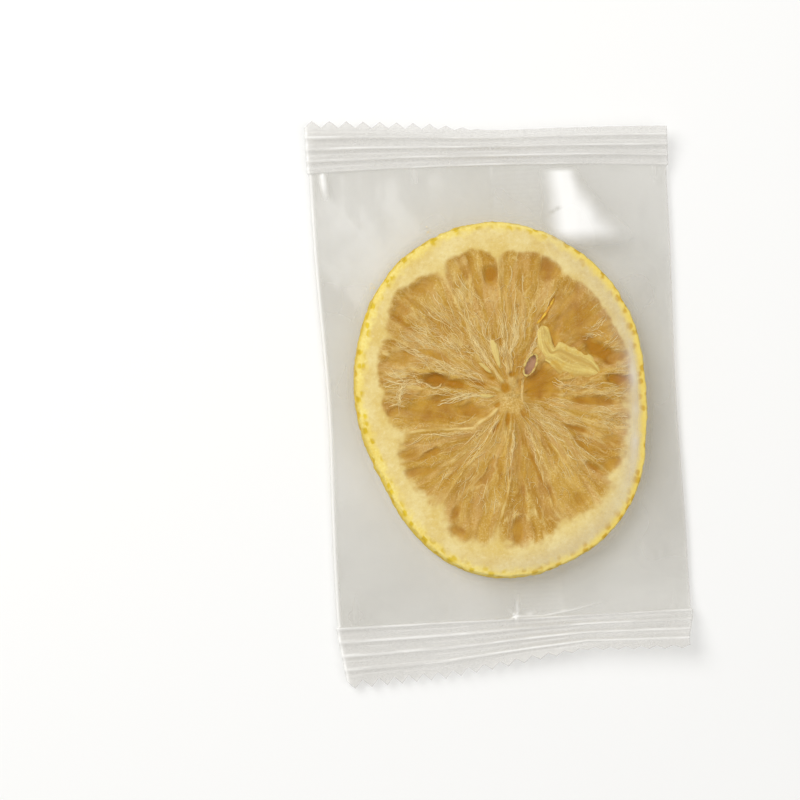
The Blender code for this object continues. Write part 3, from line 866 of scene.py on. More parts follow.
# Long fibres that follow the walls between the segments.
wall_of = np.repeat(WALLS, PER_WALL)[:, None]
count = len(wall_of)
t = np.linspace(0.0, 1.0, WALL_POINTS)
reach = draw.uniform(3.6, 11.0, (count, 1))
reach = reach + draw.uniform(3.0, 10.0, (count, 1)) * t
reach = np.minimum(reach, outline_from_core(wall_of) - 4.4)
swing = draw.uniform(0.8, 3.2, (count, 1)) * t + draw.uniform(0.0, 1.0, (count, 1))
own_way = draw.normal(0.0, 0.34, (count, 1)) + 0.19 * np.sin(FULL_TURN * swing)
own_way = own_way - wall_wander(*from_core_at(reach, wall_of), reach, UPPER_SEED)
x, y = from_core_at(reach, wall_of + own_way / np.maximum(reach, 3.0))
arch = draw.uniform(0.0, 0.07, (count, 1)) * np.sin(math.pi * t)
paths, hollow = laid_on_pulp(x, y, arch)
kept = (draw.uniform(0.0, 1.0, count) < np.repeat(WALL_SHOWN, PER_WALL)) & (hollow < 0.4)
size, tone = draw.uniform(0.025, 0.06, count), draw.uniform(0.3, 1.0, count)
walls = strands("slice_wall_fibres", paths[:, kept], size[kept], 0.5, tone[kept], lemon_fibre)


def curled(count, t, spin, shortest, longest):
    """Strands that start in any direction and turn evenly, by a random amount: their heading, and
    how far each point has gone across and up."""
    facing = draw.uniform(0.0, FULL_TURN, (count, 1)) + draw.normal(0.0, spin, (count, 1)) * t
    stride = draw.uniform(shortest, longest, (count, 1)) / len(t)
    return facing, np.cumsum(np.cos(facing) * stride, 1), np.cumsum(np.sin(facing) * stride, 1)


# Short fibres that curl.
t = np.linspace(0.0, 1.0, CURL_POINTS)
bearing = draw.uniform(0.0, FULL_TURN, (CURLS, 1))
reach = 3.5 + 17.5 * np.sqrt(draw.uniform(0.0, 1.0, (CURLS, 1)))
x, y = from_core_at(reach, bearing)
_, across, up = curled(CURLS, t, 2.2, 0.5, 2.0)
arch = 0.02 + draw.uniform(0.0, 0.16, (CURLS, 1)) * np.sin(math.pi * t)
paths, hollow = laid_on_pulp(x + across, y + up, arch)
kept = hollow < 0.25
size, tone = draw.uniform(0.022, 0.045, CURLS), draw.uniform(0.4, 1.0, CURLS)
curls = strands("slice_curled_fibres", paths[:, kept], size[kept], 0.7, tone[kept], lemon_fibre)

# The torn skins that stand out, each a bundle of strands that sway about its path.
t = np.linspace(0.0, 1.0, SKIN_POINTS)
begins = draw.uniform(0.0, 0.55, (len(TORN_SKINS), PER_SKIN, 1))
along = begins + draw.uniform(0.3, 0.45, begins.shape) * t
lines = np.concatenate([through(path, own) for (path, *_), own in zip(TORN_SKINS, along)])
thick, stray, hung, paleness = (
    np.repeat([skin[k] for skin in TORN_SKINS], PER_SKIN) for k in (1, 2, 3, 4)
)
count = len(lines)
sway = draw.normal(0.0, 1.0, (2, count, 1)) + 1.2 * draw.normal(0.0, 1.0, (2, count, 1)) * (t - 0.5)
sway = sway + 0.5 * np.sin(FULL_TURN * (draw.uniform(0.6, 2.4, (2, count, 1)) * t + sway))
paths = laid_on_pulp(*(np.moveaxis(lines, -1, 0) + stray[:, None] * sway), 0.05)[0]
paths[2] = np.maximum(paths[2], hung[:, None])
size, tone = thick * draw.uniform(0.5, 1.0, count), paleness + draw.uniform(-0.25, 0.25, count)
skins = strands("slice_torn_skins", paths, size, 0.6, tone, lemon_fibre)

# The tufts.
count = len(TUFTS) * PER_TUFT
facing, across, up = curled(count, t, 2.0, 0.3, 1.1)
roots = np.repeat(TUFTS, PER_TUFT, 0) + draw.normal(0.0, 0.22, (count, 2))
level = TUFT_LEVEL + 0.1 * np.sin(3.0 * facing)
paths = np.stack((roots[:, :1] + across, roots[:, 1:] + up, level))
size, tone = np.full(count, TUFT_HALF), np.ones(count)
tufts = strands("slice_tufts", paths, size, 0.7, tone, lemon_fibre)

# The dried juice.
look = Finish("dried_juice", roughness=0.35, specular=0.4)
mottle, grain = look.grains(900.0, 4000.0)
look.feed("Base Color", look.mix(look.spread(mottle, 0.4, 0.6), (206, 144, 14), (238, 196, 52)))
look.bump(grain, 0.00004)
lines = through(JUICE_STREAK, t)[None] + draw.normal(0.0, 0.10, (JUICE_STRANDS, 1, 2))
size = JUICE_HALF * draw.uniform(0.5, 1.0, JUICE_STRANDS)
paths = laid_on_pulp(*np.moveaxis(lines, -1, 0), 0.03)[0]
paths[2] = np.maximum(paths[2], JUICE_LEVEL)
juice = strands("dried_juice_streak", paths, size, 0.5, size, look.material)
for piece in (fibres, walls, curls, skins, tufts, juice):
    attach(piece, "root")

# ---- Seeds -----------------------------------------------------------------------------------
# The papery husk of one big flattened seed, folded along its length and hooked at its upper end;
# three small unripe seeds beside the core; and the pale rim of the pocket that another seed left.

SEED_ROWS, SEED_COLUMNS = 72, 30
# The husk's two long edges, from its lower tip to its hook.
HUSK_LEFT = (
    (7.02, 13.1), (6.52, 11.24), (6.46, 9.54), (6.74, 8.22), (7.56, 6.93), (8.68, 5.88),
    (9.54, 4.85), (10.53, 3.82), (12.32, 3.0), (14.67, 2.73), (16.38, 2.9), (17.33, 3.44),
)
HUSK_RIGHT = (
    (8.03, 13.05), (8.75, 12.62), (9.02, 11.85), (9.14, 11.05), (9.34, 10.25), (9.56, 9.5),
    (9.86, 8.95), (10.2, 9.35), (10.62, 9.82), (11.4, 9.9), (12.5, 9.34), (13.7, 8.7), (15.5, 7.6),
    (16.9, 6.4), (17.6, 4.95), (17.95, 3.9),
)
HUSK_LEVEL, HUSK_DOME, HUSK_CREASE, HUSK_BEAD = 4.36, 0.36, 0.16, 0.07
# The unripe seeds: upper end, lower end and half width; and their form from end to end.
SEEDLETS = (
    ((-1.5, 10.9), (-0.4, 5.7), 0.62), ((-4.1, 6.8), (-1.9, 4.85), 0.38),
    ((-4.3, 1.0), (-1.7, 0.45), 0.34),
)
SEEDLET_LEVEL, SEEDLET_DOME = 4.76, 0.24
SWELL = np.array((0.3, 0.85, 1.0, 0.9, 0.7, 0.2))
RIM_POINTS, RIM_SIDES, RIM_HALF, RIM_LEVEL = 72, 10, 0.20, 4.72


def seed_faces(left, right, level, dome, valley, rolled):
    """A flat shell between two edge curves, as (upper, lower, values).

    Across it (s from 0 to 1) the upper face rises as dome * sin(pi s)^0.5. A crease runs along it
    at s = 0.62, and past the crease the edge is rolled over into a bead. An unripe seed has no
    crease."""
    t, s = np.meshgrid(
        np.linspace(0.0, 1.0, SEED_ROWS), np.linspace(0.0, 1.0, SEED_COLUMNS), indexing="ij"
    )
    here = through(left, t) * (1.0 - s[..., None]) + through(right, t) * s[..., None]
    x, y = here[..., 0], here[..., 1]
    x, y = x + 0.10 * cloud(x, y, 0.9, 141), y + 0.10 * cloud(x, y, 0.9, 143)
    ends = np.clip(np.sin(math.pi * t) * 3.0, 0.0, 1.0) ** 0.5
    arch = np.sin(math.pi * s).clip(0.0) ** 0.5 * ends
    crease = bell(s - 0.62 + 0.04 * np.sin(7.0 * t), 0.07) * ease(0.15, 0.4, t)
    bead = bell(s - 0.82, 0.14) * ease(0.3, 0.5, t)
    thin = ease(0.34, 0.06, s) * ease(0.42, 0.62, t) * (valley > 0)
    crease = np.maximum(crease, 0.75 * thin)
    folds = 0.04 * cloud(7.0 * s + 3.0 * t, 6.0 * t, 1.0, 145, 3)
    high = arch * (dome + rolled * bead - valley * crease + folds)
    upper = np.stack((x, y, level + high), -1)
    lower = np.stack((x, y, level - 0.12 - 0.3 * dome * arch), -1)
    grain = np.stack((5.0 * s, 0.6 * np.sin(3.0 * t), 1.8 * t), -1)
    unripe = np.full(s.shape, 0.0 if valley else 0.55)
    # fold holds the crease and the shallow hollow, which the material darkens as painted shade.
    values = {"grain": (grain, grain), "fold": (crease, 0.0 * crease), "unripe": (unripe, unripe)}
    return upper, lower, values


look = Finish("lemon_seed_husk", roughness=0.55, specular=0.25)
mottle, grain = look.grains(420.0, 2600.0)
stripe = look.noise(2.0, 5.0, look.value("grain", "Vector"))
colour = look.coated(
    look.mix(look.spread(stripe, 0.34, 0.66), (194, 160, 78), (228, 204, 116)),
    (look.spread(mottle, 0.5, 0.75, 0.0, 0.5), (208, 168, 80)),
    (look.spread(grain, 0.52, 0.72, 0.0, 0.4), (236, 218, 146)),
    (look.spread(look.noise(520.0, 2.0), 0.56, 0.70, 0.0, 0.55), (206, 160, 40)),
    # Painted shade along the crease and in the hollow; the unripe seeds get the painted line too,
    # though their crease is not raised.
    (look.times(look.value("fold"), 0.85), (190, 150, 66)),
    (look.value("unripe"), (232, 208, 130)),
)
look.feed("Base Color", colour)
look.bump(stripe, 0.00009)

husk = (HUSK_LEFT, HUSK_RIGHT, HUSK_LEVEL, HUSK_DOME, HUSK_CREASE, HUSK_BEAD)
seeds = [closed_pair("seed_husk", *seed_faces(*husk), look.material)]
for number, (start, end, half) in enumerate(SEEDLETS, 1):
    start, step = np.array(start), np.subtract(end, start)
    spine = start + step * np.linspace(0.0, 1.0, len(SWELL))[:, None]
    side = half / math.hypot(*step) * np.array((-step[1], step[0])) * SWELL[:, None]
    faces = seed_faces(spine + side, spine - side, SEEDLET_LEVEL, SEEDLET_DOME, 0.0, 0.0)
    seeds.append(closed_pair(f"seed_unripe_{number}", *faces, look.material))

# The pocket's rim: an uneven bead round an ellipse.
turn = np.linspace(0.0, FULL_TURN, RIM_POINTS, endpoint=False)[:, None]
side = np.linspace(0.0, FULL_TURN, RIM_SIDES, endpoint=False)[None, :]
centre_x, centre_y, long, wide, degrees = SEED_HOLE
thick = RIM_HALF * (1.0 + 0.8 * cloud(4.0 * np.cos(turn), 4.0 * np.sin(turn), 1.0, 63, 3))
along = (long + 0.10 + thick * np.cos(side)) * np.cos(turn)
across = (wide + 0.10 + thick * np.cos(side)) * np.sin(turn)
x, y = turned(along, across, 0.0, 0.0, -degrees)
z = RIM_LEVEL + 0.10 * np.sin(2.0 * turn + 0.6) + 1.4 * thick * np.sin(side)
points = np.stack((centre_x + x, centre_y + y, z), -1).reshape(-1, 3)
index = np.arange(RIM_POINTS * RIM_SIDES).reshape(RIM_POINTS, RIM_SIDES)
index = np.pad(index, ((0, 1), (0, 1)), "wrap")
quads = np.stack((index[:-1, :-1], index[1:, :-1], index[1:, 1:], index[:-1, 1:]), -1)
grain = np.broadcast_arrays(6.0 * np.cos(turn), 6.0 * np.sin(turn), np.cos(side))
flat = np.zeros(len(points))
values = {"grain": np.stack(grain, -1).reshape(-1, 3), "fold": flat, "unripe": flat + 0.3}
seeds.append(make_piece("seed_pocket_rim", points, quads.reshape(-1, 4), values, look.material))
for piece in seeds:
    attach(piece, "root")

# ---- Sachet ----------------------------------------------------------------------------------
# One clear, slightly frosted film, wrapped round the slice as a flow pack. It lies on the slice,
# slopes to a fold at each side, and is pressed flat at each end into a crimped seal with a zigzag
# cut. Its long edges are sealed to each other in a fin that lies folded flat under the back. The
# front and the back are one closed envelope, two hairs apart in the seals.

HALF_WIDTH = 32.4
BODY_TOP, BODY_BOTTOM = 42.4, -40.2  # where the seals begin
RIDGE_PITCH, RIDGES, RIDGE_HEIGHT = 2.2, 4, 0.34  # the crimps in the seals
FILM_GAP = 0.12
CUT_MARGIN = 0.7  # from the last valley between the ridges to the cut
TEETH, TOOTH_DEPTH, COLUMNS_PER_TOOTH = 22, 1.3, 8
# The front's level over the rind, how far it sinks over the pulp and is lifted again by the walls,
# the level of the sides, and the rind's usual width.
RIM_HEIGHT, PULP_SAG, WALL_RISE, EDGE_LEVEL, RIND_WIDTH = 5.5, 0.34, 0.18, 0.9, 5.0
# How far the corners curl up, at these shares of the half width, over SEAL_REACH.
SEAL_REACH = 15.0
ACROSS = (-1.0, -0.4, 0.1, 0.5, 1.0)
BOTTOM_CURL = (0.9, 1.3, 2.6, 4.2, 4.9)
TOP_CURL = (1.0, 1.8, 2.9, 2.9, 3.2)
# Folds that run out from the slice: direction in degrees, half width and height.
FOLDS = (
    (37, 2.6, 0.55), (62, 5.0, 1.0), (112, 3.0, 0.45), (143, 2.6, 0.5), (219, 2.6, 0.55),
    (247, 3.0, 0.4), (292, 3.2, 0.45), (323, 2.6, 0.6),
)
# The fin under the back: x of its root and of its free edge, how far it lies below the back, the
# width over which the back slopes down to it, and the pitch of its cross ribs.
FIN_ROOT, FIN_FREE_EDGE, FIN_STEP, FIN_DRAPE, FIN_RIBS = 0.0, 8.836, 0.32, 5.9, 0.85
SEAL_FLARE = 0.35  # how far the seals stand out past the body at each side
# Short pleats that run in from the seals: x, width, rise, length, and how bright the highlight
# painted along the crease is.
TOP_PLEATS = (
    (-30.2, 0.9, 0.3, 6.0, 1.0), (-27.2, 0.6, -0.2, 6.0, 0.0), (-23.0, 0.9, 0.22, 5.0, 0.0),
    (-13.9, 0.9, 0.12, 4.5, 0.25), (-9.0, 1.2, 0.18, 5.0, 0.0), (0.3, 0.4, 0.25, 9.0, 0.0),
    (6.0, 1.2, 0.2, 5.0, 0.0), (22.0, 1.3, 0.15, 6.0, 0.0), (29.8, 0.6, 0.4, 5.0, 0.2),
)
BOTTOM_PLEATS = (
    (-29.4, 0.6, 0.45, 8.0, 0.1), (-24.5, 1.0, 0.2, 6.0, 0.0), (-14.0, 1.3, 0.16, 6.0, 0.0),
    (0.2, 0.35, 0.45, 5.0, 0.8), (2.6, 1.3, 0.3, 1.8, 0.5), (9.5, 1.1, 0.28, 5.0, 0.0),
    (18.0, 1.2, 0.3, 6.0, 0.0), (29.0, 0.8, 0.35, 6.0, 0.1),
)
# The spot where the fin's root meets the bottom seal, crushed into a star that is drawn only as a
# painted highlight, and the crease that runs from it up to the right, raised a little and painted
# with a highlight.
STAR_AT = (0.1, -39.7)
CREASE_LINE = ((0.0, -39.8), (5.1, -39.9), (11.2, -39.0), (16.9, -37.8), (20.0, -37.3))
# The pucker under the top seal: a ridge with a long left flank and a sharp right one, whose crest
# runs down and to the right from CREST_START.
CREST_START, CREST_LENGTH, CREST_DRIFT = (14.6, 42.1), 16.0, 8.2
CREST_RISE, FLANK_FOOT = 0.12, 9.0
# The cross crease is drawn only as a darker break in the flank's painted highlight.
CREASE_AT, CREASE_TOWARDS = (10.9, 33.6), 27  # a fine cross crease in the flank, and its direction


def past_body(y):
    """How far beyond the body's end, in a seal."""
    return np.maximum(y - BODY_TOP, BODY_BOTTOM - y)


def body_radius(angle):
    """From the slice's centre to the edge of the straight body, which is a rectangle."""
    cos, sin = np.cos(angle), np.sin(angle)
    side = np.where(cos > 0, HALF_WIDTH, -HALF_WIDTH) - SLICE_CENTRE[0]
    end = np.where(sin > 0, BODY_TOP, BODY_BOTTOM) - SLICE_CENTRE[1]
    to_side = side / np.where(np.abs(cos) < 1e-6, 1e-6, cos)
    to_end = end / np.where(np.abs(sin) < 1e-6, 1e-6, sin)
    return np.minimum(np.abs(to_side), np.abs(to_end))


def seal_level(x, y):
    """The height at which front and back meet: both ends curl up, the bottom right the most."""
    to_bottom = np.clip((BODY_BOTTOM + 5.0 - y) / SEAL_REACH, 0.0, None) ** 1.5
    to_top = np.clip((y - BODY_TOP + 5.0) / SEAL_REACH, 0.0, None) ** 1.5
    bottom = np.interp(x / HALF_WIDTH, ACROSS, BOTTOM_CURL) * to_bottom
    return EDGE_LEVEL + bottom + np.interp(x / HALF_WIDTH, ACROSS, TOP_CURL) * to_top


def wall_relief(x, y):
    """1 along the walls between the segments and at the core, falling off as a bell."""
    distance, direction = polar(x, y, CORE)
    off = np.abs(off_direction(direction[..., None], WALLS)).min(-1)
    across = distance * np.sin(np.minimum(off, math.pi / 2))
    return np.maximum(bell(across, 1.3), bell(distance, 3.0))


def film_share(x, y, start):
    """Direction and distance from the slice's centre, the distance at `start` times the slice's
    outline, and a share that is 0 inside that and 1 at the straight body's edge."""
    distance, angle = polar(x, y, SLICE_CENTRE)
    rim, edge = start * slice_radius(angle), body_radius(angle)
    return angle, distance, rim, np.clip((distance - rim) / (edge - rim), 0.0, 1.0)


def pleated(x, y):
    """The pleats' height, each a bell across that widens and fades away from the seal, and how
    bright the highlight painted along them is, with a painted star of highlight where the fin's
    root meets the bottom seal and a painted streak along the crease from there."""
    away, towards = polar(x, y, STAR_AT)
    arms = np.abs(np.cos(2.5 * towards + 0.4)) ** 4
    star = bell(away, 0.5) + 0.8 * arms * bell(away, 1.3)
    line, past = bell(y - np.interp(x, *zip(*CREASE_LINE)), 0.20), x - STAR_AT[0]
    line = line * ease(-0.4, 0.3, past) * ease(19.0, 8.0, past)
    height, shine = 0.12 * line, np.maximum(np.minimum(star, 1.0), 0.6 * line)
    for pleats, into in ((TOP_PLEATS, BODY_TOP - y), (BOTTOM_PLEATS, y - BODY_BOTTOM)):
        into = np.clip(into, 0.0, None) * (into > -0.3)
        for where, width, rise, length, gleam in pleats:
            run = ease(0.0, 0.8, into) * np.exp(-into / length * 2.0)
            across = bell(x - where - 0.08 * into, width * (0.6 + 0.5 * into / length))
            height = height + rise * run * across
            lit = ease(0.0, 0.3, into) * ease(length, 0.3 * length, into)
            shine = np.maximum(shine, gleam * lit * across**1.5)
    return height, shine


def pucker(x, y):
    """The pucker's height, and 1 on its left flank, where a highlight is painted on the film.
    Across the crest the height is a ramp up from the left, then a bell's steep side."""
    down = np.clip((CREST_START[1] - y) / CREST_LENGTH, 0.0, 1.0)
    crest = CREST_START[0] + CREST_DRIFT * down**1.7
    shift = 0.25 * cloud(x, y, 3.0, 61)
    off, foot = x - crest + shift, FLANK_FOOT + 0.5 * shift
    ramp = ease(0.0, 1.35, (x - foot) / (crest - foot)) / 0.833
    rise = np.where(off < 0, np.minimum(ramp, 1.0), bell(off, 3.0 + 5.0 * down))
    run = ease(0.0, 0.10, down) * ease(1.0, 0.62, down)
    # Where a highlight is painted on the flank: rising from the foot, fading past the crest and at
    # both ends.
    painted_glare = ease(foot - 0.6, foot + 3.4 + 1.5 * down, x) ** 0.8
    painted_glare = painted_glare * ease(1.3 + 6.5 * down, -0.9 - 1.5 * down, off)
    painted_glare = painted_glare * ease(0.0, 0.09, down) * ease(1.0, 0.72, down)
    # A fine cross crease, drawn only as a darker break in the painted highlight.
    along, across = turned(x, y, *CREASE_AT, CREASE_TOWARDS)
    painted_glare = painted_glare * (1.0 - 0.55 * np.exp(-((across / 0.28) ** 2) - (along / 1.5) ** 4))
    return CREST_RISE * rise * run, painted_glare


def front_film(x, y):
    """Over the rind, sunk a little over the pulp and lifted again by the walls. Outside, it falls
    to the seal's level as 1 - (1 - share)^1.35, with a fold in each direction listed."""
    angle, distance, rim, share = film_share(x, y, 1.0)
    inward = ease(0.55 * RIND_WIDTH, 1.25 * RIND_WIDTH, rim - distance)
    on_slice = RIM_HEIGHT - inward * (PULP_SAG - WALL_RISE * wall_relief(x, y))
    fall = 1.0 - (1.0 - share) ** 1.35
    height = on_slice + (seal_level(x, y) + FILM_GAP / 2 - on_slice) * fall
    folds = 0.0
    for towards, width, rise in FOLDS:
        off = angle - math.radians(towards)
        folds = folds + np.where(np.cos(off) > 0, rise * bell(distance * np.sin(off), width), 0.0)
    wrinkle = 0.22 * cloud(x, y, 6.5, 83, 3) + 0.07 * cloud(x, y * 0.35, 1.9, 87)
    height = height + (folds + wrinkle) * 4.0 * share * (1.0 - share)
    return height + pleated(x, y)[0] + pucker(x, y)[0]


def in_fin(x, y):
    """1 on the fin: the film's edges, sealed to each other and folded flat under the back."""
    across = ease(FIN_ROOT - 0.2, FIN_ROOT + 0.2, x)
    across = across * ease(FIN_FREE_EDGE + 0.2, FIN_FREE_EDGE - 0.2, x)
    return across * ease(1.0, 0.0, past_body(y))


def back_film(x, y):
    """Nearly flat under the slice, stepping down to the fin's own face, rising to the seals."""
    share = film_share(x, y, 0.93)[3]
    beside = np.maximum(FIN_ROOT - x, x - FIN_FREE_EDGE)
    flat = 0.06 + FIN_STEP * ease(FIN_DRAPE, 0.6, beside)
    wrinkle = 0.10 * np.abs(cloud(x, y, 6.0, 97, 3)) * ease(0.0, 0.3, share)
    meeting = seal_level(x, y) - FILM_GAP / 2
    height = flat + wrinkle * (1.0 - share) + (meeting - flat) * share**2
    return height - FIN_STEP * in_fin(x, y)


def crimp(y):
    """The seals' ridges, from 0 to 1: a cosine, sharpened so that crests are narrow."""
    beyond = past_body(y)
    wave = 0.5 + 0.5 * np.cos(FULL_TURN * beyond / RIDGE_PITCH)
    inside = ease(-0.3, 0.0, beyond) * (beyond < (RIDGES - 0.4) * RIDGE_PITCH)
    return inside * wave**1.6


def bent(x, y):
    """The sachet as it lies: the seals lean and are deepest on the left, and the sides draw in."""
    across = x / HALF_WIDTH
    lean = (0.5 - across - 0.8 * across**2) * ease(BODY_TOP - 14.0, BODY_TOP, y)
    top_depth = np.interp(across, (-1.0, -0.2, 0.1, 1.0), (0.99, 0.76, 0.72, 0.82))
    bottom_depth = np.interp(across, (-1.0, -0.4, 0.1, 0.4, 1.0), (1.15, 1.05, 0.80, 0.68, 0.74))
    past_top, past_bottom = np.clip(y - BODY_TOP, 0, None), np.clip(BODY_BOTTOM - y, 0, None)
    new_y = y + lean + past_top * (top_depth - 1.0) - past_bottom * (bottom_depth - 1.0)
    draw_in = 0.5 * ease(-30.0, 0.0, y) * ease(30.0, 0.0, y)
    left = 1.7 * ease(-BODY_BOTTOM - 3.0, -BODY_BOTTOM + 11.0, -y)
    left = left - 0.55 * ease(-5.0, 40.0, y)
    right = 1.1 * ease(-BODY_BOTTOM, -BODY_BOTTOM + 8.0, -y)
    flare = ease(-0.35, 0.1, past_body(y)) * ease(0.8, 1.0, np.abs(across))
    new_x = x * (1.0 - draw_in / HALF_WIDTH) + SEAL_FLARE * flare * np.sign(x)
    new_x = new_x + left * ease(0.2, 1.0, -across) - right * ease(0.2, 1.0, across)
    return new_x, new_y


# The grid of the flat film: even columns, and rows that are close together in the seals. Its end
# rows are pulled out into teeth, and then it is bent and lifted.
columns = TEETH * COLUMNS_PER_TOOTH + 1
x_line = np.linspace(-HALF_WIDTH, HALF_WIDTH, columns) - PLAN_ORIGIN[0]
last_valley = (RIDGES - 0.5) * RIDGE_PITCH
cut_line = last_valley + CUT_MARGIN * np.linspace(0.0, 1.0, 5)[1:]
outer_line = np.concatenate((np.linspace(0.0, last_valley, 41)[1:], cut_line))
body_lines = (
    np.linspace(BODY_BOTTOM, BODY_BOTTOM + 4.0, 24)[:-1],
    np.linspace(BODY_BOTTOM + 4.0, BODY_TOP - 4.0, 122),
    np.linspace(BODY_TOP - 4.0, BODY_TOP, 18)[1:],
)
y_line = np.concatenate((BODY_BOTTOM - outer_line[::-1], *body_lines, BODY_TOP + outer_line))
x, y = np.meshgrid(x_line, y_line)
tooth = 1.0 - 2.0 * np.abs((np.arange(columns) / COLUMNS_PER_TOOTH) % 1.0 - 0.5)
tooth = tooth * ease(last_valley, last_valley + CUT_MARGIN, past_body(y))
top_tooth = TOOTH_DEPTH * (1.0 - 0.93 * ease(-12.0, 1.0, x))
bottom_tooth = TOOTH_DEPTH * (1.0 - 0.4 * ease(0.0, 14.0, x))
y = y + np.where(y > 0, top_tooth, -bottom_tooth) * tooth
ridges = RIDGE_HEIGHT * crimp(y)
front = np.stack((*bent(x, y), front_film(x, y) + ridges), -1)
back = np.stack((*bent(x, y), back_film(x, y) + ridges), -1)

# Where the film clings to the slice, where highlights are painted on its crimps, creases and folds
# and on the pucker's flank, and where a reflection is painted over the rind on the right.
angle, distance, rim, _ = film_share(x, y, 1.0)
past_rim = distance - rim
lifted = ease(-0.35, 0.75, np.cos(angle + 0.35)) * ease(-6.2, -1.8, past_rim)
lifted = lifted * ease(-0.4, -2.0, past_rim)
cling = ease(1.5, -0.8, past_rim) * (1.0 - 0.75 * lifted)
seal = ease(-0.25, 0.25, past_body(y))
# The seals' crimp ridges and the fainter lines between them get painted highlights, broken up by
# stretched noise.
stretch = cloud(x * 0.25, y * 4.0, 1.6, 41, 3)
line = crimp(y) ** 4 * np.clip(0.62 + 0.6 * stretch, 0.15, 1.0)
minor = bell((past_body(y) / RIDGE_PITCH) % 1.0 - 0.45, 0.09) * seal
line = np.maximum(line, 0.35 * minor * ease(-0.2, 0.6, stretch)).clip(0.0, 1.0)
# A reflection painted on the film over the rind, on the right side of the slice.
painted_rind_reflection = bell(past_rim + 2.0 - 0.35 * cloud(x, y, 5.0, 45), 1.05)
painted_rind_reflection = painted_rind_reflection * ease(-0.80, -0.30, angle) * ease(0.60, 0.20, angle)
painted_rind_reflection = 0.36 * painted_rind_reflection * (0.75 + 0.5 * cloud(x, y, 3.0, 47))
painted_glare = np.maximum(np.maximum(pucker(x, y)[1], pleated(x, y)[1]), painted_rind_reflection)
# A highlight painted along the folds at both sides.
fold = ease(HALF_WIDTH - 0.55, HALF_WIDTH - 0.1, np.abs(x))
none = np.zeros_like(painted_glare)
values = {
    "cling": (cling, cling),
    "seal": (seal, seal),
    "line": (line, line),
    "fold": (fold, fold),
    "painted_glare": (painted_glare, none),
    "fin": (none, in_fin(x, y)),
}

# The film's haze shows as a thin veil, which vanishes where the film clings to the slice. It is
# thicker and whiter where highlights are painted along crimps, creases and folds and on the
# pucker's flank, and where a reflection is painted over the rind on the right.
look = Finish("clear_film", roughness=0.25, specular=0.7)
haze, speck = look.noise(42.0, 2.0), look.noise(1800.0, 2.0)
cling, seal, line, fold, painted_glare, fin = (look.value(label) for label in values)
lengthwise = look.node("SeparateXYZ", ((0, look.place()),)).outputs[1]
wave = look.joined("SINE", look.times(lengthwise, FULL_TURN / (FIN_RIBS * MM)), 0.0)
rib = look.times(look.spread(wave, 0.0, 1.0), fin)
veil = look.times(
    look.spread(haze, 0.34, 0.66, 0.25, 0.37),
    look.spread(cling, 0.0, 1.0, 1.0, 0.05),
    look.spread(fin, 0.0, 1.0, 1.0, 0.8),
)
# Ribs and seal specks add to the veil, and so do the painted highlights and reflection.
veil = look.joined(
    "ADD",
    veil,
    look.times(rib, 0.03),
    look.times(seal, look.spread(speck, 0.4, 0.7, -0.01, 0.03)),
    look.times(line, 0.35),
    look.times(painted_glare, 0.60),
    look.times(fold, 0.25),
)
# Near white where highlights and the reflection are painted.
colour = look.coated(
    look.mix(seal, (211, 208, 199), (222, 219, 213)),
    (look.most(line, painted_glare, fold), (254, 253, 250)),
)
look.feed("Base Color", colour)
look.feed("Alpha", look.spread(veil, 0.0, 1.0))
look.feed("Roughness", look.spread(haze, 0.3, 0.7, 0.2, 0.34))
look.bump(look.joined("ADD", look.times(speck, 0.3), rib), 0.00003)

film = closed_pair("sachet_film", front, back, values, look.material)
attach(film, "root")
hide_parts("lemon_slice_sachet")

# ---- Table, lights and camera ----------------------------------------------------------------
# A plain white table, a soft key light from the upper left, a wide overhead fill and a pale room.
# The camera looks straight down, turned a little, with the sachet right of the middle.

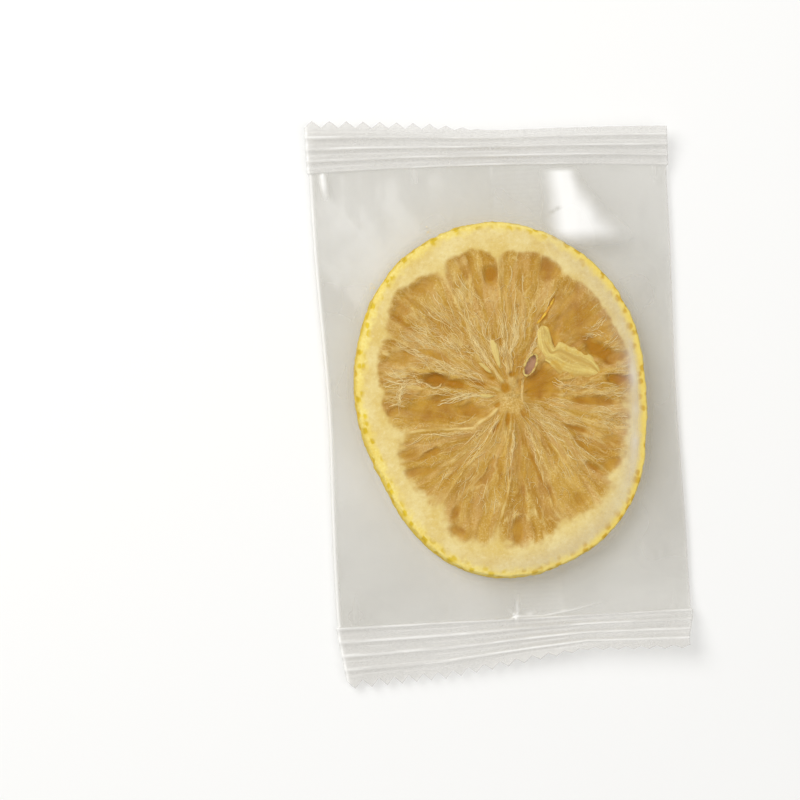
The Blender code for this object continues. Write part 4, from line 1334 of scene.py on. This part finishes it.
TABLE_SIZE, TABLE_LEVEL = 3.0, -0.0002  # in metres, as all sizes in this section
CAMERA_PLACE, CAMERA_TURN = (-0.01854, 0.00020, 0.62), math.radians(-3.18)
VIEW_WIDTH, SENSOR_WIDTH = 0.1465, 36.0  # the width seen at the table; the sensor's, in mm
LIGHTS = (  # name, place, width, power
    ("key_light", (-0.38, 0.34, 0.62), 0.55, 3.9),
    ("fill_light", (0.30, -0.15, 0.85), 0.9, 2.3),
)
ROOM_STRENGTH = 0.42

table = bpy.data.meshes.new("table")
far = TABLE_SIZE / 2
table.from_pydata(
    [(-far, -far, 0), (far, -far, 0), (far, far, 0), (-far, far, 0)], [], [(0, 1, 2, 3)]
)
look = Finish("table_white", roughness=0.6, specular=0.5)
look.surface.inputs["Base Color"].default_value = (0.93, 0.93, 0.92, 1.0)
table.materials.append(look.material)
floor = bpy.data.objects.new("table", table)
bpy.context.scene.collection.objects.link(floor)
floor.location.z = TABLE_LEVEL

for label, place, width, power in LIGHTS:
    data = bpy.data.lights.new(label, "AREA")
    data.shape, data.size, data.energy = "DISK", width, power
    lamp = bpy.data.objects.new(label, data)
    bpy.context.scene.collection.objects.link(lamp)
    lamp.location = place
    x, y, z = place
    lamp.rotation_euler = (math.atan2(math.hypot(x, y), z), 0.0, math.atan2(y, x) + math.pi / 2)

room = bpy.data.worlds.new("room")
room.use_nodes = True
background = room.node_tree.nodes["Background"]
background.inputs["Color"].default_value = (1.0, 0.99, 0.97, 1.0)
background.inputs["Strength"].default_value = ROOM_STRENGTH
bpy.context.scene.world = room
bpy.context.scene.view_settings.view_transform = "Standard"

lens = bpy.data.cameras.new("camera")
lens.sensor_width = SENSOR_WIDTH
lens.lens = SENSOR_WIDTH * CAMERA_PLACE[2] / VIEW_WIDTH
lens.clip_start = 0.01
camera = bpy.data.objects.new("camera", lens)
bpy.context.scene.collection.objects.link(camera)
camera.location = CAMERA_PLACE
camera.rotation_euler = (0.0, 0.0, CAMERA_TURN)
bpy.context.scene.camera = camera
